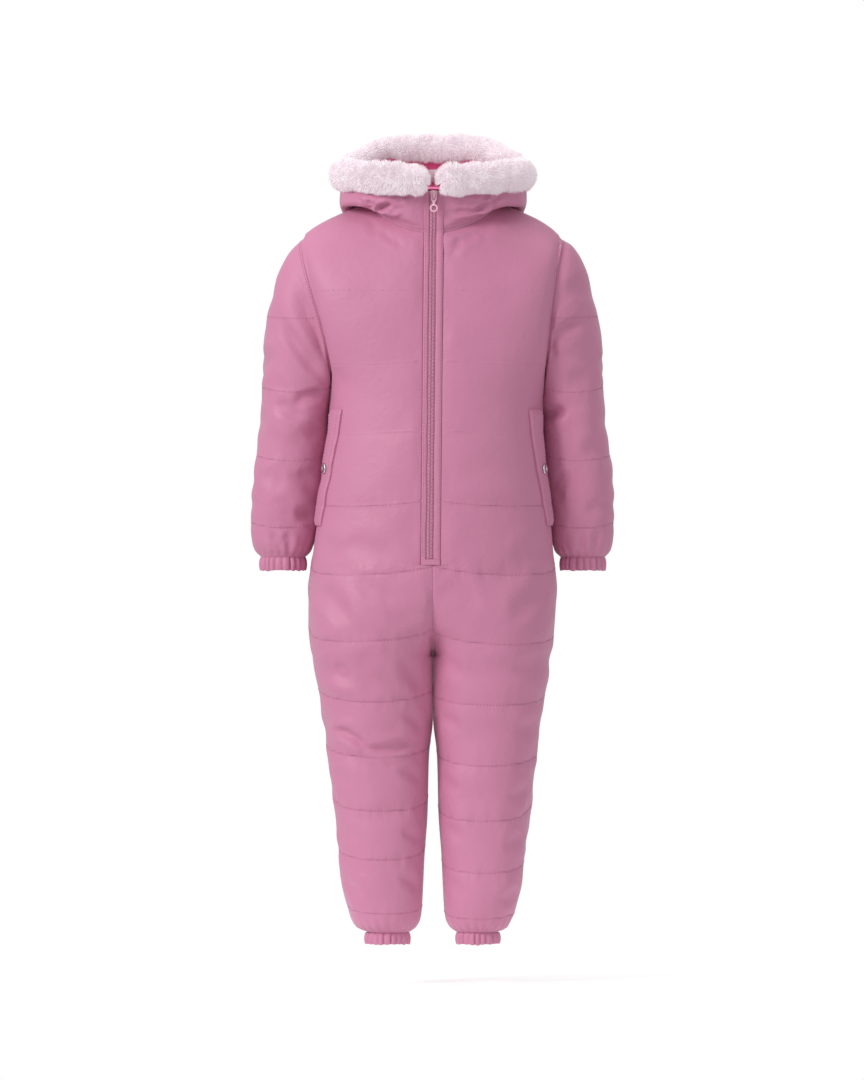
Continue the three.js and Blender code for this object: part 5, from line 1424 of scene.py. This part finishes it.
def makeWelt(side):
    made = panels[side, -1]
    outer, z = made["outer"][: made["firstUpper"]], made["grid"][: made["firstUpper"], 0, 2]
    rows = np.nonzero((z > pocket["bottom"] - 1) & (z < pocket["top"] + 1))[0]
    finer = np.linspace(rows[0], rows[-1], len(rows) * 2)
    low = np.floor(finer).astype(int)
    outer = mix(outer[low], outer[np.minimum(low + 1, rows[-1])], (finer - low)[:, None, None])
    z = mix(z[low], z[np.minimum(low + 1, rows[-1])], finer - low)
    t = np.clip((z - pocket["bottom"]) / (pocket["top"] - pocket["bottom"]), 0, 1)[:, None]
    u = np.linspace(0, 1, atDetail(22))[None, :]
    angle = mix(mix(*pocket["back"], t), mix(*pocket["front"], t), u)
    at = np.interp(angle / pocket["fullTurn"], columnShares(outer.shape[1]), np.arange(outer.shape[1]))
    j = np.floor(at).astype(int)
    i = np.arange(len(outer))[:, None]
    base = mix(outer[i, j], outer[i, j + 1], (at - j)[..., None])
    out = -gridNormals(base, side)
    up = walked(base, 0)
    fromEnd = np.minimum(up, up[-1:] - up)
    across = np.clip(1 - np.abs(2 * u - 1) ** 3.2, 0, 1) ** 0.6
    ends = mix(0.45, 1, ease(0, 6, fromEnd))
    puckers = 0.45 * noise(base, (7, 7, 9), 201 + side) * (1 - across * 0.5)
    height = pocket["clear"] + pocket["rise"] * mix(0.35, 1, across) * ends + puckers * ease(0, 6, fromEnd)
    top = base + out * height[..., None]
    name = "pocket_welt_" + sideName(side)
    pieces[name] = clothWall("padded_" + name, top, coarser(base + out * 0.15, 4, 4), shellCloth,
                             line=np.full(top.shape[:2], unsewn))
    measureCut(name, top)
    for share in (0.13, 0.87):
        k = int(share * (top.shape[1] - 1))
        stitchRuns.append(top[2:-2, k] + out[2:-2, k] * 0.12)
    return top, out


def makeSnap(side, top, out):
    # the cap lies flat on the middle of the welt
    name = "pocket_snap_" + sideName(side)
    obj = softened(name, "domed_" + name, 0.35, steelMaterial)
    at = places(obj)
    centre = (at.min(axis=0) + at.max(axis=0)) / 2
    axis = np.linalg.eigh(np.cov((at - centre).T))[1][:, 0]
    axis = axis * np.sign(axis[0] * side)
    column = int(0.55 * (top.shape[1] - 1))
    row = np.abs(top[:, column, 2] - centre[2]).argmin()
    to = unit(out[row, column])
    turn = np.cross(axis, to)
    cosine = axis @ to
    cross = np.array([[0, -turn[2], turn[1]], [turn[2], 0, -turn[0]], [-turn[1], turn[0], 0]])
    turning = np.eye(3) + cross + cross @ cross / (1 + cosine)
    moved = (at - centre) @ turning.T
    lowest = (moved @ to).min()
    seat = top[row, column] - to * (lowest + pocket["sink"])
    obj.data.vertices.foreach_set("co", ((moved + seat) / 1000).ravel())
    obj.data.update()
    pieces[name] = obj


for side in (1, -1):
    makeSnap(side, *makeWelt(side))
pieces["slider"] = softened("slider", "zip_slider", 0.35, enamelMaterial)
pieces["pull_tab"] = softened("pull_tab", "zip_pull_tab", 0.2, enamelMaterial)

stitchValues = {"Material": threadMaterial}
stitches = grown(runToMesh("stitch_runs", stitchRuns), beads, stitchValues, "sewing_stitches")
print("stitches:", sum(len(p.vertices) - 2 for p in stitches.data.polygons), "triangles")

# Camera at the photo's height and distance, a pale floor and a soft light from the front left.

view = dict(aim=(-0.0011, 0, -0.3718), distance=9.0, across=1.188, sensor=36.0)
camera = bpy.data.cameras.new("Camera")
camera.sensor_fit = "AUTO"
camera.sensor_width = view["sensor"]
camera.lens = view["sensor"] * view["distance"] / view["across"]
cameraObject = linked("Camera", camera)
cameraObject.location = (view["aim"][0], -view["distance"], view["aim"][2])
cameraObject.rotation_euler = (math.pi / 2, 0, 0)
camera.clip_end = 60
scene.camera = cameraObject


def areaLight(name, place, size, watts):
    lamp = bpy.data.lights.new(name, "AREA")
    lamp.shape = "DISK"
    lamp.size = size
    lamp.energy = watts
    obj = linked(name, lamp)
    obj.location = place
    toAim = np.array(view["aim"]) - np.array(place)
    flat = math.hypot(toAim[0], toAim[1])
    obj.rotation_euler = (math.atan2(flat, -toAim[2]), 0, math.atan2(toAim[1], toAim[0]) - math.pi / 2)


areaLight("Key", (-2.6, -2.2, 1.3), 1.3, 78)
areaLight("Fill", (2.4, -2.6, 0.2), 2.2, 9)
areaLight("Top", (0.0, 0.4, 2.6), 2.0, 22)
world = bpy.data.worlds.new("Pale Studio")
scene.world = world
world.use_nodes = True
backdrop = world.node_tree.nodes["Background"]
# the backdrop looks white to the camera, and lights the suit a little less
rays = addNode(world.node_tree, "ShaderNodeLightPath", -600)
seen = mapRange(world.node_tree, rays.outputs["Is Camera Ray"], -300, 0, To_Min=0.55, To_Max=1.0)
feed(world.node_tree, backdrop, {"Color": (1, 1, 1, 1), "Strength": seen})
scene.view_settings.view_transform = "Standard"


def makeFloor():
    # a pale disc that fades out before its edge
    mat, tree, shader = newMaterial("Pale Floor", (0.93, 0.93, 0.93), 0.9)
    place = addNode(tree, "ShaderNodeTexCoord", -900).outputs["Object"]
    length = addNode(tree, "ShaderNodeVectorMath", -700, 0, {0: place}, operation="LENGTH").outputs["Value"]
    fade = mapRange(tree, length, -500, 0, "SMOOTHSTEP", From_Min=0.15, From_Max=0.9, To_Min=0.7,
                    To_Max=0.0)
    grain = noiseNode(tree, -700, -300, Vector=place, Scale=30.0)
    tint = mapRange(tree, grain.outputs["Fac"], -500, -300, To_Min=0.86, To_Max=0.92)
    feed(tree, shader, {"Alpha": fade, "Roughness": tint, "Emission Color": (1, 1, 1, 1),
                        "Emission Strength": 0.35})
    mesh = bpy.data.meshes.new("floor")
    build = bmesh.new()
    bmesh.ops.create_circle(build, cap_ends=True, segments=64, radius=1.6)
    build.to_mesh(mesh)
    build.free()
    mesh.materials.append(mat)
    obj = linked("floor", mesh)
    obj.location = (0, 0, -0.86)
    return obj


makeFloor()

# Bodies, and what each piece stands for.

lengths = ("shin", "thigh", "hip", "chest")
stands = {f"{face}_{side}": [f"{face}_{length}_{side}" for length in lengths]
          for face in ("front", "back") for side in ("left", "right")}
for name, obj in pieces.items():
    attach(obj, "pull" if name == "pull_tab" else "garment")
    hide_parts(*stands.get(name, [name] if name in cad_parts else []))
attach(stitches, "garment")

total = 0
for obj in [*pieces.values(), stitches]:
    count = sum(len(p.vertices) - 2 for p in obj.data.polygons)
    total += count
    low, high = np.array(obj.bound_box).min(axis=0), np.array(obj.bound_box).max(axis=0)
    print(f"{obj.name:28s} {count:7d}", np.round(low, 4), np.round(high, 4))
print("cuts:", cuts)
print("triangles in all:", total)
